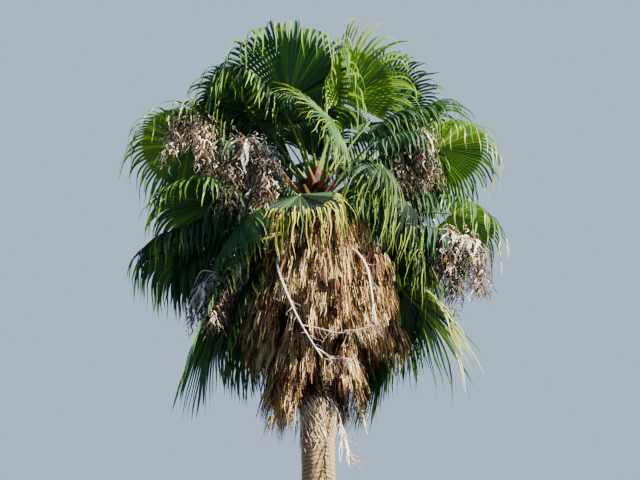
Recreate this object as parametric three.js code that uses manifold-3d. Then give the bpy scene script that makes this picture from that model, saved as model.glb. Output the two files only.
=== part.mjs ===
// A mature fan palm: trunk, green fronds, skirt of dead fronds, dried fruit stalks.
// Millimetres, +Z up, origin on the trunk's flat cut at ground level.
// Bearings are degrees round +Z from +X; rises are degrees above the horizontal.
import * as THREE from "three";
import { mergeVertices } from "three/addons/utils/BufferGeometryUtils.js";
import Module from "manifold-3d";

const wasm = await Module();
wasm.setup();

// Driving dimensions
const heartHeight = 11500; // where the petioles spread from
const shaftRadius = 157; // just under the crown
const taperGain = 92; // how much wider the shaft is low down
const taperFall = 3800;
const flareGain = 135; // root flare at the ground
const flareFall = 330;
const trunkSway = 55; // the shaft's gentle S bend
const swayEnds = 8200; // and the shaft is plumb above this
const trunkSides = 18;
const seatGap = 0.36; // clearance round the trunk where a stem meets it
const clearance = 3; // least gap between two neighbouring pieces
const sliver = 0.3; // detail finer than this is smoothed away where solids are joined
const runStep = 2.5; // the runs of a blade start this far apart along its axis, so none shares an edge

const bladeThickness = 12;
const bunchGirth = 44; // half width of a hanging bunch of dried twigs
const kneeShare = 0.74; // where a leaflet's free part is measured
const kneeRoom = 0.4; // half its width there at most, as a share of the distance to the next leaflet
// united: share of a leaflet that is joined to its neighbours; kneeWidth: its width there against the notch
const green = { united: 0.47, kneeWidth: 0.55 };
const dry = { united: 0.34, kneeWidth: 1.05 };
const droopStart = 0.36; // share of its length where a leaflet starts to bend down
const droopGain = 1.6; // how hard it bends from there, for each unit of sag
const forkSag = -18; // degrees that a fork of a bare stalk sags
const backBend = 0.25; // how far the bend also leans to the blade's underside
const sideShortening = 0.62; // leaflets grow shorter with the square of their angle
const bunchTrims = [1, 0.8, 0.62, 0.46]; // lengths that a crowded bunch or fork tries
const leafletTrims = [1, 0.87, 0.75, 0.64, 0.53, 0.42]; // lengths that a crowded leaflet tries
const sharedSeam = 400; // cubic mm that two leaflets of one blade may share, other than side by side
const pathSteps = 12;

// Stems: width at the foot, width at the tip, depth as a share of width, lengths, sides
const stemShapes = {
  fruit: [66, 26, 0.7, 6, 4],
  bare: [54, 20, 0.8, 8, 4],
  fork: [22, 9, 0.8, 4, 3],
  dead: [84, 40, 0.6, 3, 4],
  green: [88, 34, 0.6, 4, 4],
};

const deg = Math.PI / 180;
const down = new THREE.Vector3(0, 0, -1);

const colours = {
  bark: new THREE.MeshStandardMaterial({ color: 0x9c8662, roughness: 0.95, metalness: 0 }),
  frond: new THREE.MeshStandardMaterial({ color: 0x3f6b26, roughness: 0.6, metalness: 0 }),
  dead: new THREE.MeshStandardMaterial({ color: 0xa88350, roughness: 0.95, metalness: 0 }),
  fruit: new THREE.MeshStandardMaterial({ color: 0x5d4734, roughness: 0.95, metalness: 0 }),
  stalk: new THREE.MeshStandardMaterial({ color: 0xb9a88c, roughness: 0.9, metalness: 0 }),
};

// The whorls of green fronds, youngest first. Each frond: bearing and rise of its hub as seen from the
// heart, reach of the hub, and what its whorl doesn't give: turn (blade's bearing against the petiole's),
// lift (rise of the blade's axis, in place of nod against the petiole) and roll of the blade.
const whorls = [
  {
    blade: 1100, spread: 128, fold: 12, arch: 5, nod: -8, sag: 2, reach: 1150,
    fronds: [
      { bearing: 225, rise: 63, turn: 45, reach: 1010, lift: 68, sag: 1.8, blade: 1200 },
      { bearing: 75, rise: 80, turn: 10, reach: 900, nod: 4 },
      { bearing: -46, rise: 66, turn: -26, reach: 1000, lift: 64, roll: 17, fold: 34, sag: 3.6, blade: 1120 },
    ],
  },
  {
    blade: 1080, spread: 124, fold: 14, arch: 9, nod: 6, sag: 2.8, reach: 1180,
    fronds: [
      { bearing: 15, rise: 56, reach: 1370, turn: -80, lift: 80, sag: 2.2, blade: 960 },
      { bearing: 206, rise: 44, turn: 30, reach: 1150, sag: 3.4, blade: 1000 },
      { bearing: 168, rise: 33, reach: 1230, turn: 8, nod: -6, roll: 22 },
      { bearing: 282, rise: 28, reach: 900, turn: -30, lift: -20, roll: -43, fold: 10, sag: 1.6, blade: 950 },
      { bearing: 12, rise: 41, reach: 1260, turn: 10, roll: -20 },
      { bearing: 108, rise: 57 },
      { bearing: 70, rise: 42 },
      { bearing: 140, rise: 43 },
    ],
  },
  {
    blade: 1060, spread: 120, fold: 16, arch: 14, nod: 12, sag: 3.4, reach: 1330,
    fronds: [
      { bearing: 184, rise: 20, reach: 1460, roll: 24 },
      { bearing: -4, rise: 20, reach: 1340, turn: -8, roll: -24 },
      { bearing: -50, rise: -5, reach: 1020, lift: -58, sag: 4.4 },
      { bearing: 35, rise: 20 },
      { bearing: 63, rise: 12 },
      { bearing: 93, rise: 20 },
      { bearing: 122, rise: 12 },
      { bearing: 152, rise: 18 },
    ],
  },
  {
    blade: 1040, spread: 114, fold: 18, arch: 22, nod: 18, sag: 3.8, reach: 1260,
    fronds: [
      { bearing: 192, rise: -13, reach: 1120, lift: 4, roll: 24, sag: 2.4 },
      { bearing: 178, rise: -24, reach: 1460, lift: -14, roll: 18 },
      { bearing: 216, rise: -32, reach: 1150, lift: -62 },
      { bearing: 258, rise: -28, reach: 1000, lift: -42, fold: 8, sag: 4.6 },
      { bearing: -28, rise: -20, reach: 1120, lift: -56 },
      { bearing: 4, rise: -9, reach: 1430, roll: -18 },
      { bearing: 44, rise: -20 },
      { bearing: 78, rise: -14 },
      { bearing: 109, rise: -22 },
      { bearing: 143, rise: -16 },
    ],
  },
  {
    blade: 1100, spread: 96, fold: 8, arch: 40, nod: 12, sag: 2, reach: 1400,
    fronds: [
      { bearing: 178, rise: -50, reach: 1560, blade: 1320 },
      { bearing: -8, rise: -54, reach: 1520, lift: -40, sag: 2, blade: 1150 },
      { bearing: -20, rise: -36, reach: 1300, blade: 1040, lift: -58, sag: 3 },
      { bearing: 32, rise: -52 },
      { bearing: 72, rise: -57 },
      { bearing: 110, rise: -52 },
      { bearing: 144, rise: -55 },
    ],
  },
];

// Tiers of the dead skirt, uppermost first
const skirtTiers = [
  {
    count: 6, first: 262, hubOut: 650, hubDrop: 700, footDrop: 480,
    blade: 1020, spread: 84, lift: -50, sag: 6,
  },
  {
    count: 5, first: 283, hubOut: 650, hubDrop: 1180, footDrop: 860,
    blade: 1040, spread: 78, lift: -56, sag: 5.6,
  },
  {
    count: 4, first: 225, hubOut: 430, hubDrop: 1750, footDrop: 1420,
    blade: 920, spread: 70, lift: -60, sag: 5,
  },
];
const skirtScatter = { hubOut: 90, hubDrop: 240, lift: 26, blade: 200 }; // full range of each, frond to frond

// Dried flower and fruit stalks: an arching stem whose outer part carries hanging bunches
const fruitStems = [
  { bearing: 191, rise: 28, reach: 1740, arch: 20, bunch: 1000, hang: 8 },
  { bearing: 226, rise: 12, reach: 1150, arch: 26, bunch: 1050, hang: 8 },
  { bearing: -24, rise: 21, reach: 1360, arch: 22, bunch: 780, hang: 8 },
  { bearing: -14, rise: -25, reach: 1880, arch: 36, bunch: 980, hang: 8 },
  { bearing: 201, rise: -47, reach: 1850, arch: 44, bunch: 700, hang: 7 },
];

// Bare, bleached stalks that lie over the skirt. swing turns the foot's bearing against the far end's.
// Each fork: turn against the stalk, rise, length.
const bareStems = [
  {
    bearing: 272, swing: -50, rise: -64, reach: 2640, arch: 56, footDrop: 700,
    forks: [[80, -6, 660], [70, -24, 420]],
  },
  { bearing: 302, swing: 0, rise: -61, reach: 2220, arch: 50, footDrop: 620, forks: [[-30, -78, 330]] },
  { bearing: -42, swing: 0, rise: -82, reach: 3060, arch: 20, footDrop: 2050, forks: [[40, -72, 240]] },
];

function seeded(row, column) {
  const wave = Math.sin(row * 12.9898 + column * 78.233) * 43758.5453;
  return wave - Math.floor(wave);
}

function towards(bearing, rise) {
  const b = bearing * deg;
  const r = rise * deg;
  return new THREE.Vector3(Math.cos(r) * Math.cos(b), Math.cos(r) * Math.sin(b), Math.sin(r));
}

// The fronds of the crown's far side have fewer leaflets, apart from those that stand above it
function leafletCount({ bearing, rise }) {
  return bearing > 25 && bearing < 165 && rise < 60 ? 12 : 15;
}

function radiusAt(z) {
  return shaftRadius + taperGain * Math.exp(-z / taperFall) + flareGain * Math.exp(-z / flareFall);
}

function axisAt(z) {
  const t = Math.min(z / swayEnds, 1);
  const ease = Math.sin(Math.PI * t);
  return new THREE.Vector3(trunkSway * Math.sin(2 * Math.PI * t) * ease, -0.6 * trunkSway * ease ** 2, z);
}

// How high on the trunk a stem starts, by how steeply it rises
function footHeight(rise) {
  return heartHeight - 330 + 300 * Math.sin(rise * deg);
}

// Closed tube through rings of points, with flat ends
function loft(rings) {
  const sides = rings[0].length;
  const position = rings.flat().flatMap((p) => [p.x, p.y, p.z]);
  const index = [];
  for (let r = 0; r + 1 < rings.length; r++) {
    for (let s = 0; s < sides; s++) {
      const a = r * sides + s;
      const b = r * sides + ((s + 1) % sides);
      index.push(a, b, b + sides, a, b + sides, a + sides);
    }
  }
  const last = (rings.length - 1) * sides;
  for (let s = 1; s + 1 < sides; s++) {
    index.push(0, s + 1, s, last, last + s, last + s + 1);
  }
  return solidFrom(position, index);
}

function solidFrom(position, index) {
  const geometry = new THREE.BufferGeometry();
  geometry.setAttribute("position", new THREE.BufferAttribute(new Float32Array(position), 3));
  geometry.setIndex(index);
  const merged = mergeVertices(geometry, 1e-3);
  const mesh = new wasm.Mesh({
    numProp: 3,
    vertProperties: merged.attributes.position.array,
    triVerts: new Uint32Array(merged.index.array),
  });
  const solid = new wasm.Manifold(mesh);
  if (solid.volume() >= 0) {
    return solid;
  }
  mesh.triVerts = mesh.triVerts.map((v, i, all) => all[i % 3 === 0 ? i : i % 3 === 1 ? i + 1 : i - 1]);
  return new wasm.Manifold(mesh);
}

function meshOf(name, solid, material) {
  const made = solid.getMesh();
  const position = new Float32Array(made.numVert * 3);
  for (let i = 0; i < made.numVert; i++) {
    position.set(made.vertProperties.subarray(i * made.numProp, i * made.numProp + 3), i * 3);
  }
  const geometry = new THREE.BufferGeometry();
  geometry.setAttribute("position", new THREE.BufferAttribute(position, 3));
  geometry.setIndex(new THREE.BufferAttribute(new Uint32Array(made.triVerts), 1));
  geometry.computeVertexNormals();
  const mesh = new THREE.Mesh(geometry, material);
  mesh.name = name;
  return mesh;
}

// Trunk: level rings that follow the taper, the flare and the sway, closed by a blunt dome
function trunkSolid(extra) {
  const heights = [0, 120, 280, 520, 900, 1500, 2500, 4000, 6000, 8000, 9600, heartHeight - 300];
  const rings = heights.map((z) => trunkRing(z, radiusAt(z) + extra));
  [[-180, 0.93], [-80, 0.74], [10, 0.4]].forEach(([rise, share]) => {
    rings.push(trunkRing(heartHeight + rise + extra, radiusAt(heartHeight) * share + extra));
  });
  return loft(rings);
}

function trunkRing(z, radius) {
  const centre = axisAt(z);
  return Array.from({ length: trunkSides }, (_, s) => {
    const a = (2 * Math.PI * s) / trunkSides;
    return new THREE.Vector3(centre.x + radius * Math.cos(a), centre.y + radius * Math.sin(a), z);
  });
}

const trunk = trunkSolid(0);
const trunkRoom = trunkSolid(seatGap);

// Tapering tube along a curve, wider than it is deep
function tubeSolid(curve, footWidth, tipWidth, flatness, segments, sides) {
  const rings = [];
  for (let k = 0; k <= segments; k++) {
    const t = k / segments;
    const along = curve.getTangent(t);
    const centre = curve.getPoint(t);
    const across = new THREE.Vector3().crossVectors(along, new THREE.Vector3(0, 0, 1)).normalize();
    const up = new THREE.Vector3().crossVectors(across, along).normalize();
    const half = 0.5 * (tipWidth + (footWidth - tipWidth) * (1 - t) ** 1.6);
    rings.push(Array.from({ length: sides }, (_, s) => {
      const a = (2 * Math.PI * (s + 0.5)) / sides;
      return centre.clone()
        .addScaledVector(across, half * Math.cos(a))
        .addScaledVector(up, half * flatness * Math.sin(a));
    }));
  }
  return loft(rings);
}

// A stem that springs from the trunk, its foot cut to the trunk's surface
function stemSolid(curve, shape) {
  return largest(tubeSolid(curve, ...shape).subtract(trunkRoom));
}

function largest(solid) {
  return solid.decompose().reduce((best, part) => (part.volume() > best.volume() ? part : best));
}

// A leaflet leaves the hub at an angle from the blade's axis and bends down under its own weight.
// Returns its points, and the blade's sideways direction there, at equal steps of its length.
function leafletPath(blade, angle, length) {
  const side = angle * deg;
  const tuck = blade.fold * deg;
  const dropped = blade.across.clone().multiplyScalar(Math.cos(tuck))
    .addScaledVector(blade.normal, -Math.sin(tuck) * Math.sign(angle || 1));
  const turned = (ahead, beside) => {
    return blade.axis.clone().multiplyScalar(ahead).addScaledVector(dropped, beside).normalize();
  };
  const course = turned(Math.cos(side), Math.sin(side));
  const sideways = turned(-Math.sin(side), Math.cos(side));
  const step = length / pathSteps;
  const point = blade.hub.clone();
  const path = [{ point: point.clone(), sideways, course: course.clone() }];
  for (let k = 1; k <= pathSteps; k++) {
    const share = (k - 0.5) / pathSteps;
    const bend = (droopGain * blade.sag * Math.max(0, share - droopStart)) / (1 - droopStart) / pathSteps;
    const pull = down.clone().addScaledVector(blade.normal, -backBend);
    pull.addScaledVector(course, -pull.dot(course));
    course.addScaledVector(pull, bend).normalize();
    point.addScaledVector(course, step);
    const level = sideways.clone().addScaledVector(course, -sideways.dot(course)).normalize();
    path.push({ point: point.clone(), sideways: level, course: course.clone() });
  }
  return path;
}

function pathAt(path, share) {
  const place = Math.min(Math.max(share, 0), 1) * pathSteps;
  const k = Math.min(Math.floor(place), pathSteps - 1);
  const mix = place - k;
  const lerp = (key) => path[k][key].clone().lerp(path[k + 1][key], mix);
  return { point: lerp("point"), sideways: lerp("sideways").normalize(), course: lerp("course").normalize() };
}

function leafletLength(blade, angle) {
  const share = Math.abs(angle) / 180;
  return blade.length * (1 - sideShortening * share * share);
}

// Corner points of one leaflet: notches either side, knee, tip. trim shortens the free part.
function leafletCorners(blade, i, trim) {
  const step = (2 * blade.spread) / blade.count;
  const angle = -blade.spread + (i + 0.5) * step;
  const natural = leafletLength(blade, angle) * (0.95 + 0.1 * seeded(blade.seed, i));
  const path = leafletPath(blade, angle, natural);
  const notch = (edge) => {
    const edgeAngle = -blade.spread + edge * step;
    const reach = leafletLength(blade, edgeAngle);
    const at = pathAt(leafletPath(blade, edgeAngle, reach), blade.united * Math.min(1, trim * 1.3));
    return { point: at.point, normal: new THREE.Vector3().crossVectors(at.course, at.sideways).normalize() };
  };
  const knee = pathAt(path, kneeShare * trim);
  const tip = pathAt(path, trim).point;
  const room = [-step, step].map((turn) => {
    const beside = pathAt(leafletPath(blade, angle + turn, natural), kneeShare * trim);
    return beside.point.distanceTo(knee.point);
  });
  const open = natural * blade.united * Math.sin((step / 2) * deg) * blade.kneeWidth;
  const half = Math.min(open, kneeRoom * Math.min(...room));
  const [left, right] = [notch(i), notch(i + 1)];
  const outward = knee.point.clone().multiplyScalar(2).sub(left.point).sub(right.point);
  const face = new THREE.Vector3().crossVectors(outward, right.point.clone().sub(left.point)).normalize();
  // A plate that twists keeps its thickness if the knee leans to the face between the notches and the knee
  const upright = new THREE.Vector3().crossVectors(knee.course, knee.sideways).normalize();
  const kneeNormal = upright.add(face).normalize();
  return {
    left,
    right,
    kneeLeft: { point: knee.point.clone().addScaledVector(knee.sideways, -half), normal: kneeNormal },
    kneeRight: { point: knee.point.clone().addScaledVector(knee.sideways, half), normal: kneeNormal },
    tip,
  };
}

// One closed thin plate for a run of leaflets side by side, walls only round its outline
function plateSolid(blade, corners) {
  const position = [];
  const index = [];
  const put = (p) => position.push(p.x, p.y, p.z) / 3 - 1;
  const half = blade.thickness / 2;
  const pair = ({ point, normal }) => {
    return [half, -half].map((rise) => put(point.clone().addScaledVector(normal, rise)));
  };
  const wall = (p, q) => index.push(p[0], p[1], q[1], p[0], q[1], q[0]);
  const hub = pair({ point: blade.hub, normal: blade.normal });
  let notch = pair(corners[0].left);
  wall(hub, notch);
  corners.forEach((c) => {
    const [l, r, kl, kr] = [notch, pair(c.right), pair(c.kneeLeft), pair(c.kneeRight)];
    const tip = put(c.tip);
    index.push(hub[0], l[0], r[0], l[0], kl[0], r[0], kl[0], kr[0], r[0], kl[0], tip, kr[0]);
    index.push(hub[1], r[1], l[1], l[1], r[1], kl[1], kl[1], r[1], kr[1], kl[1], kr[1], tip);
    wall(l, kl);
    index.push(kl[0], kl[1], tip, kr[0], tip, kr[1]);
    wall(kr, r);
    notch = r;
  });
  wall(notch, hub);
  return solidFrom(position, index);
}

// Everything placed so far, with its box, so that a later piece can keep clear of it
const placed = [];

function boxOf(solid) {
  const { min, max } = solid.boundingBox();
  return new THREE.Box3(new THREE.Vector3(...min), new THREE.Vector3(...max));
}

function keepsClear(solid, owner) {
  const box = boxOf(solid).expandByScalar(clearance);
  const others = placed.filter((other) => other.owner !== owner && box.intersectsBox(other.box));
  return others.every((other) => solid.minGap(other.solid, clearance) >= clearance);
}

function claim(solid, owner) {
  placed.push({ solid, owner, box: boxOf(solid) });
}

// A stem's curve from the trunk's axis to its far end, bowed upwards by arch
function stemCurve(foot, end, bearing, rise, arch) {
  const reach = end.distanceTo(foot);
  const knee = foot.clone().addScaledVector(towards(bearing, Math.min(rise + arch, 86)), reach * 0.55);
  return new THREE.QuadraticBezierCurve3(foot, knee, end);
}

// The stem is tried from a few places on the trunk until it keeps clear of its neighbours
function placeStem(piece) {
  const { name, spec, end, footZ, stem } = piece;
  const start = spec.bearing + (spec.swing || 0);
  const across = new THREE.Vector3(-Math.sin(start * deg), Math.cos(start * deg), 0);
  for (const bow of [0, 7, -7, 14, -14]) {
    for (const shift of [0, 45, -45, 90, -90, 140, -140, 190, -190, 240, -240, 300, -300]) {
      for (const aside of [0, 50, -50, 95, -95]) {
        const foot = axisAt(Math.min(footZ + shift, heartHeight - 20)).addScaledVector(across, aside);
        const curve = stemCurve(foot, end, start, spec.rise, spec.arch + bow);
        const solid = stemSolid(curve, stem);
        if (keepsClear(solid, "trunk")) {
          claim(solid, name);
          return { ...piece, curve, solids: [solid] };
        }
      }
    }
  }
  throw new Error(name + " finds no clear seat");
}

// The first candidate that keeps clear of its neighbours, if there is one
function firstClear(candidates, owner) {
  for (const candidate of candidates) {
    if (keepsClear(candidate.solid, owner)) {
      claim(candidate.solid, owner);
      return candidate;
    }
  }
  return null;
}

// One body of all the solids, without their slivers
function fuse(solids) {
  return largest(solids.reduce((sum, solid) => sum.add(solid)).asOriginal().simplify(sliver));
}

function farEnd(spec) {
  return axisAt(heartHeight).addScaledVector(towards(spec.bearing, spec.rise), spec.reach);
}

function bladeFrame(curve, frond) {
  const tangent = curve.getTangent(1);
  const rise = frond.lift ?? Math.asin(tangent.z) / deg - frond.nod;
  const bearing = frond.bearing + (frond.turn || 0);
  const axis = towards(bearing, rise);
  const level = new THREE.Vector3(-Math.sin(bearing * deg), Math.cos(bearing * deg), 0);
  const across = level.applyAxisAngle(axis, (frond.roll || 0) * deg);
  const normal = new THREE.Vector3().crossVectors(axis, across).normalize();
  return { hub: curve.getPoint(1), axis, across, normal };
}

// Leaflets yield to what stands already: each is shortened until it is clear, or left out. Side by side
// they share a notch, and every gap starts a new run.
function bladeSolids({ name, spec, curve }) {
  const blade = { ...spec, ...bladeFrame(curve, spec), length: spec.blade, thickness: bladeThickness };
  const plate = (corners, r) => {
    const hub = blade.hub.clone().addScaledVector(blade.axis, -runStep * (r + 1));
    return plateSolid({ ...blade, hub }, corners);
  };
  const runs = [[]];
  const own = [];
  for (let i = 0; i < blade.count; i++) {
    const before = runs.at(-1).at(-1);
    const candidates = leafletTrims.map((trim) => {
      const corners = leafletCorners(blade, i, trim);
      corners.left = before?.right ?? corners.left;
      return { corners, solid: plate([corners], runs.length - 1) };
    }).filter(({ solid }) => own.slice(0, -1).every((other) => solid.intersect(other).volume() < sharedSeam));
    const chosen = firstClear(candidates, name);
    if (chosen) {
      own.push(chosen.solid);
      runs.at(-1).push(chosen.corners);
    } else if (before) {
      runs.push([]);
    }
  }
  return runs.filter((run) => run.length).map(plate);
}

// One hanging bunch of dried twigs: a spindle that leaves its stem sideways and drops
function bunchSolid(start, bearing, length) {
  const out = towards(bearing, 10);
  const spread = 0.3 * length;
  const centre = (t) => {
    return start.clone().addScaledVector(out, spread * Math.sqrt(t)).addScaledVector(down, length * t);
  };
  const profile = [[0, 0.3], [0.16, 0.95], [0.6, 0.9], [1, 0.14]];
  return loft(profile.map(([t, width], k) => Array.from({ length: 3 }, (_, s) => {
    const a = (s / 3) * 2 * Math.PI + k * 0.4;
    const half = bunchGirth * width * (0.8 + 0.4 * seeded(length, k * 3 + s));
    return centre(t).add(new THREE.Vector3(half * Math.cos(a), half * Math.sin(a), 0));
  })));
}

function bunchSolids({ name, spec, curve }) {
  return Array.from({ length: spec.hang }, (_, k) => {
    const start = curve.getPoint(0.66 + (0.32 * k) / (spec.hang - 1));
    const bearing = spec.bearing + 140 * k + 30 * seeded(spec.seed, k);
    const length = spec.bunch * (0.7 + 0.3 * seeded(spec.seed + 9, k));
    const candidates = bunchTrims.map((trim) => ({ solid: bunchSolid(start, bearing, length * trim) }));
    return firstClear(candidates, name)?.solid;
  }).filter(Boolean);
}

function forkSolids({ name, spec, curve }) {
  return spec.forks.map(([turn, rise, length], k) => {
    const start = curve.getPoint(0.86 + 0.1 * k);
    const bearing = spec.bearing + turn;
    const candidates = bunchTrims.map((trim) => {
      const end = start.clone().addScaledVector(towards(bearing, rise), length * trim);
      return { solid: tubeSolid(stemCurve(start, end, bearing, rise, forkSag), ...stemShapes.fork) };
    });
    return firstClear(candidates, name)?.solid;
  }).filter(Boolean);
}

function skirtFrond(tier, t, k) {
  const seed = 60 + t * 10 + k;
  const bearing = tier.first + (360 / tier.count) * k;
  const spec = { ...tier, ...dry, bearing, rise: -30, arch: 24, fold: 10, count: 11, seed };
  Object.entries(skirtScatter).forEach(([key, range], n) => {
    spec[key] += range * (seeded(seed, n + 20) - 0.5);
  });
  return spec;
}

const pieces = [
  ...fruitStems.map((spec, n) => ({
    name: "fruit_stalk_" + (n + 1), spec: { ...spec, seed: n + 1 }, colour: colours.fruit, dress: bunchSolids,
    end: farEnd(spec), footZ: footHeight(spec.rise) - 60, stem: stemShapes.fruit,
  })),
  ...bareStems.map((spec, n) => ({
    name: "bare_stalk_" + (n + 1), spec, colour: colours.stalk, dress: forkSolids,
    end: farEnd(spec), footZ: heartHeight - spec.footDrop, stem: stemShapes.bare,
  })),
  ...skirtTiers.flatMap((tier, t) => Array.from({ length: tier.count }, (_, k) => {
    const spec = skirtFrond(tier, t, k);
    return {
      name: "skirt_" + (t + 1) + "_" + (k + 1), spec, colour: colours.dead, dress: bladeSolids,
      end: axisAt(heartHeight - spec.hubDrop).addScaledVector(towards(spec.bearing, 0), spec.hubOut),
      footZ: heartHeight - tier.footDrop, stem: stemShapes.dead,
    };
  })),
  ...whorls.flatMap((whorl) => whorl.fronds.map((frond) => ({ ...whorl, ...frond }))).map((frond, i) => ({
    name: "frond_" + String(i + 1).padStart(2, "0"), colour: colours.frond, dress: bladeSolids,
    spec: { ...frond, ...green, count: leafletCount(frond), seed: i + 1 },
    end: farEnd(frond), footZ: footHeight(frond.rise), stem: stemShapes.green,
  })),
];

const root = new THREE.Group();
claim(trunk, "trunk");
root.add(meshOf("trunk", trunk, colours.bark));
pieces.map(placeStem).forEach((piece) => {
  root.add(meshOf(piece.name, fuse([...piece.solids, ...piece.dress(piece)]), piece.colour));
});

export default root;
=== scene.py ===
# Fan palm in its photographed season: ringed trunk, green crown, skirt of dead fronds, dried fruit stalks.
# Metres, +Z up, origin on the trunk's cut at the ground. Bearings are degrees round +Z from +X, rises are
# degrees above the horizontal. Every draw is seeded, so the palm grows the same each time.
import math

import bpy
import numpy as np
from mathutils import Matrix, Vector


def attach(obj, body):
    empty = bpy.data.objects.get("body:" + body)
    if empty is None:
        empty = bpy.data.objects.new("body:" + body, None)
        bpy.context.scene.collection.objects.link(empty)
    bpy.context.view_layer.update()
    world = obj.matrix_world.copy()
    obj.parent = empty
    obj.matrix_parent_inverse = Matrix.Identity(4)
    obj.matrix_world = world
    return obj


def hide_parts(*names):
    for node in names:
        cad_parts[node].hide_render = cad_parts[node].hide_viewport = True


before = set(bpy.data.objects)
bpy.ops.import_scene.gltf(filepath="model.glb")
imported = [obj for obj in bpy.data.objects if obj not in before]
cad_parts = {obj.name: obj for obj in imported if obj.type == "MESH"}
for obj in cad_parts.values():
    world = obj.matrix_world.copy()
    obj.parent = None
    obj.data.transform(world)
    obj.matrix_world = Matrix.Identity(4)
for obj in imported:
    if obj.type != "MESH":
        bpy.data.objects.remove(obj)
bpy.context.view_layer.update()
scene = bpy.context.scene
up = np.array([0.0, 0.0, 1.0])
print("frame:", len(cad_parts), "nodes")

# Camera: looks up at the crown, as the photograph does
cameraPlan = {
    "aim": (0.02, 0.0, 10.92),  # what the middle of the picture shows
    "distance": 23.0, "looksUp": 25.0, "sensorWidth": 36.0, "farthest": 500.0,
    "shownWidth": 6.72,  # metres across the picture at the aim
}


def addObject(name, data):
    item = bpy.data.objects.new(name, data)
    scene.collection.objects.link(item)
    return item


def lookAlong(item, direction):
    item.rotation_euler = Vector(direction).to_track_quat("-Z", "Y").to_euler()


def placeCamera(plan):
    data = bpy.data.cameras.new("photoCamera")
    data.sensor_width = plan["sensorWidth"]
    data.lens = plan["sensorWidth"] * plan["distance"] / plan["shownWidth"]
    data.clip_end = plan["farthest"]
    item = addObject("photoCamera", data)
    rise = math.radians(plan["looksUp"])
    ahead = Vector((0.0, math.cos(rise), math.sin(rise)))
    item.location = Vector(plan["aim"]) - plan["distance"] * ahead
    lookAlong(item, ahead)
    scene.camera = item


placeCamera(cameraPlan)
print("camera placed")


# Shader values: each operator on a wire adds one Math node, also where the number comes first
class Wire:
    def __init__(self, paint, socket):
        self.paint = paint
        self.socket = socket

    def math(self, operation, first, second):
        return self.paint.node("Math", {"operation": operation}, {0: first, 1: second})

    def __add__(self, other):
        return self.math("ADD", self, other)

    def __radd__(self, other):
        return self.math("ADD", other, self)

    def __sub__(self, other):
        return self.math("SUBTRACT", self, other)

    def __rsub__(self, other):
        return self.math("SUBTRACT", other, self)

    def __mul__(self, other):
        return self.math("MULTIPLY", self, other)

    def __rmul__(self, other):
        return self.math("MULTIPLY", other, self)

    def __pow__(self, other):
        return self.math("POWER", self, other)


# Nodes of a material or of the world. Its node method takes a type, the settings to make first, and the
# sockets' values or wires.
class Paint:
    def __init__(self, name, owners=bpy.data.materials):
        self.owner = owners.new(name)
        self.owner.use_nodes = True
        self.tree = self.owner.node_tree
        self.tree.nodes.clear()

    def node(self, kind, settings=None, sockets=None, output=0):
        made = self.tree.nodes.new("ShaderNode" + kind)
        for key, value in (settings or {}).items():
            setattr(made, key, value)
        for key, value in (sockets or {}).items():
            if isinstance(value, Wire):
                self.tree.links.new(value.socket, made.inputs[key])
            else:
                made.inputs[key].default_value = value
        return Wire(self, made.outputs[output]) if len(made.outputs) else None

    def place(self):
        return self.node("TexCoord", output=3)  # the Object output

    def uv(self):
        return self.node("UVMap", {"uv_map": "leaf"})

    def stretch(self, vector, scale):
        return self.node("Mapping", {}, {"Vector": vector, "Scale": scale})

    def noise(self, vector, scale, detail=3.0, rough=0.55):
        sockets = {"Vector": vector, "Scale": scale, "Detail": detail, "Roughness": rough}
        return self.node("TexNoise", {}, sockets)

    def mix(self, factor, first, second):
        return self.node("Mix", {"data_type": "RGBA"}, {0: factor, 6: first, 7: second}, 2)

    def skin(self, colour, rough, height, bump, depth, shine):
        normal = self.node("Bump", {}, {"Strength": bump, "Distance": depth, "Height": height})
        sockets = {"Base Color": colour, "Roughness": rough, "Normal": normal, "Specular IOR Level": shine}
        return self.node("BsdfPrincipled", {}, sockets)

    def finish(self, shader):
        self.node("OutputMaterial", {}, {"Surface": shader})
        return self.owner


# Linear colour of a screen colour written as six hex digits, each channel times its gain
def tone(code, gains=(1.0, 1.0, 1.0)):
    parts = [int(code[k:k + 2], 16) / 255 for k in (1, 3, 5)]
    linear = [c / 12.92 if c <= 0.04045 else ((c + 0.055) / 1.055) ** 2.4 for c in parts]
    return tuple(min(1.0, c * gain) for c, gain in zip(linear, gains)) + (1.0,)


# Waxy living leaf with fine veins, and dull dead leaf, twig or fruit with fibres
leafFinish = {
    "grain": (26.0, 3.0, 1.0), "detail": 3.0, "rough": 0.44, "roughSpan": 0.26, "bump": 0.25, "depth": 0.003,
    "shine": 0.24, "through": 0.24, "glow": (2.0, 1.75, 0.7),
}
dryFinish = {
    "grain": (14.0, 5.0, 1.0), "detail": 4.0, "rough": 0.68, "roughSpan": 0.3, "bump": 0.6, "depth": 0.004,
    "shine": 0.25, "through": 0.1, "glow": (1.4, 1.3, 1.1),
}


# One plain tint with grain along the leaf, and some light through it
def tintPaint(name, code, finish, **own):
    finish = {**finish, **own}
    paint = Paint(name)
    grain = paint.noise(paint.stretch(paint.uv(), finish["grain"]), 1.0, finish["detail"])
    rough = finish["rough"] + grain * finish["roughSpan"]
    surface = paint.skin(tone(code), rough, grain, finish["bump"], finish["depth"], finish["shine"])
    glow = paint.node("BsdfTranslucent", {}, {"Color": tone(code, finish["glow"])})
    return paint.finish(paint.node("MixShader", {}, {0: finish["through"], 1: surface, 2: glow}))


def dryPaints(tints, **own):
    return [tintPaint(name, code, dryFinish, **own) for name, code in tints.items()]


def unit(v):
    return v / np.maximum(np.linalg.norm(v, axis=-1, keepdims=True), 1e-9)


def along(a, b):
    return (a * b).sum(-1, keepdims=True)


# A share from 0 to 1: the fraction of sin(row * 12.9898 + column * 78.233) * 43758.5453
def seeded(row, column):
    wave = np.sin(row * 12.9898 + np.asarray(column, float) * 78.233) * 43758.5453
    return wave - np.floor(wave)


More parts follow.
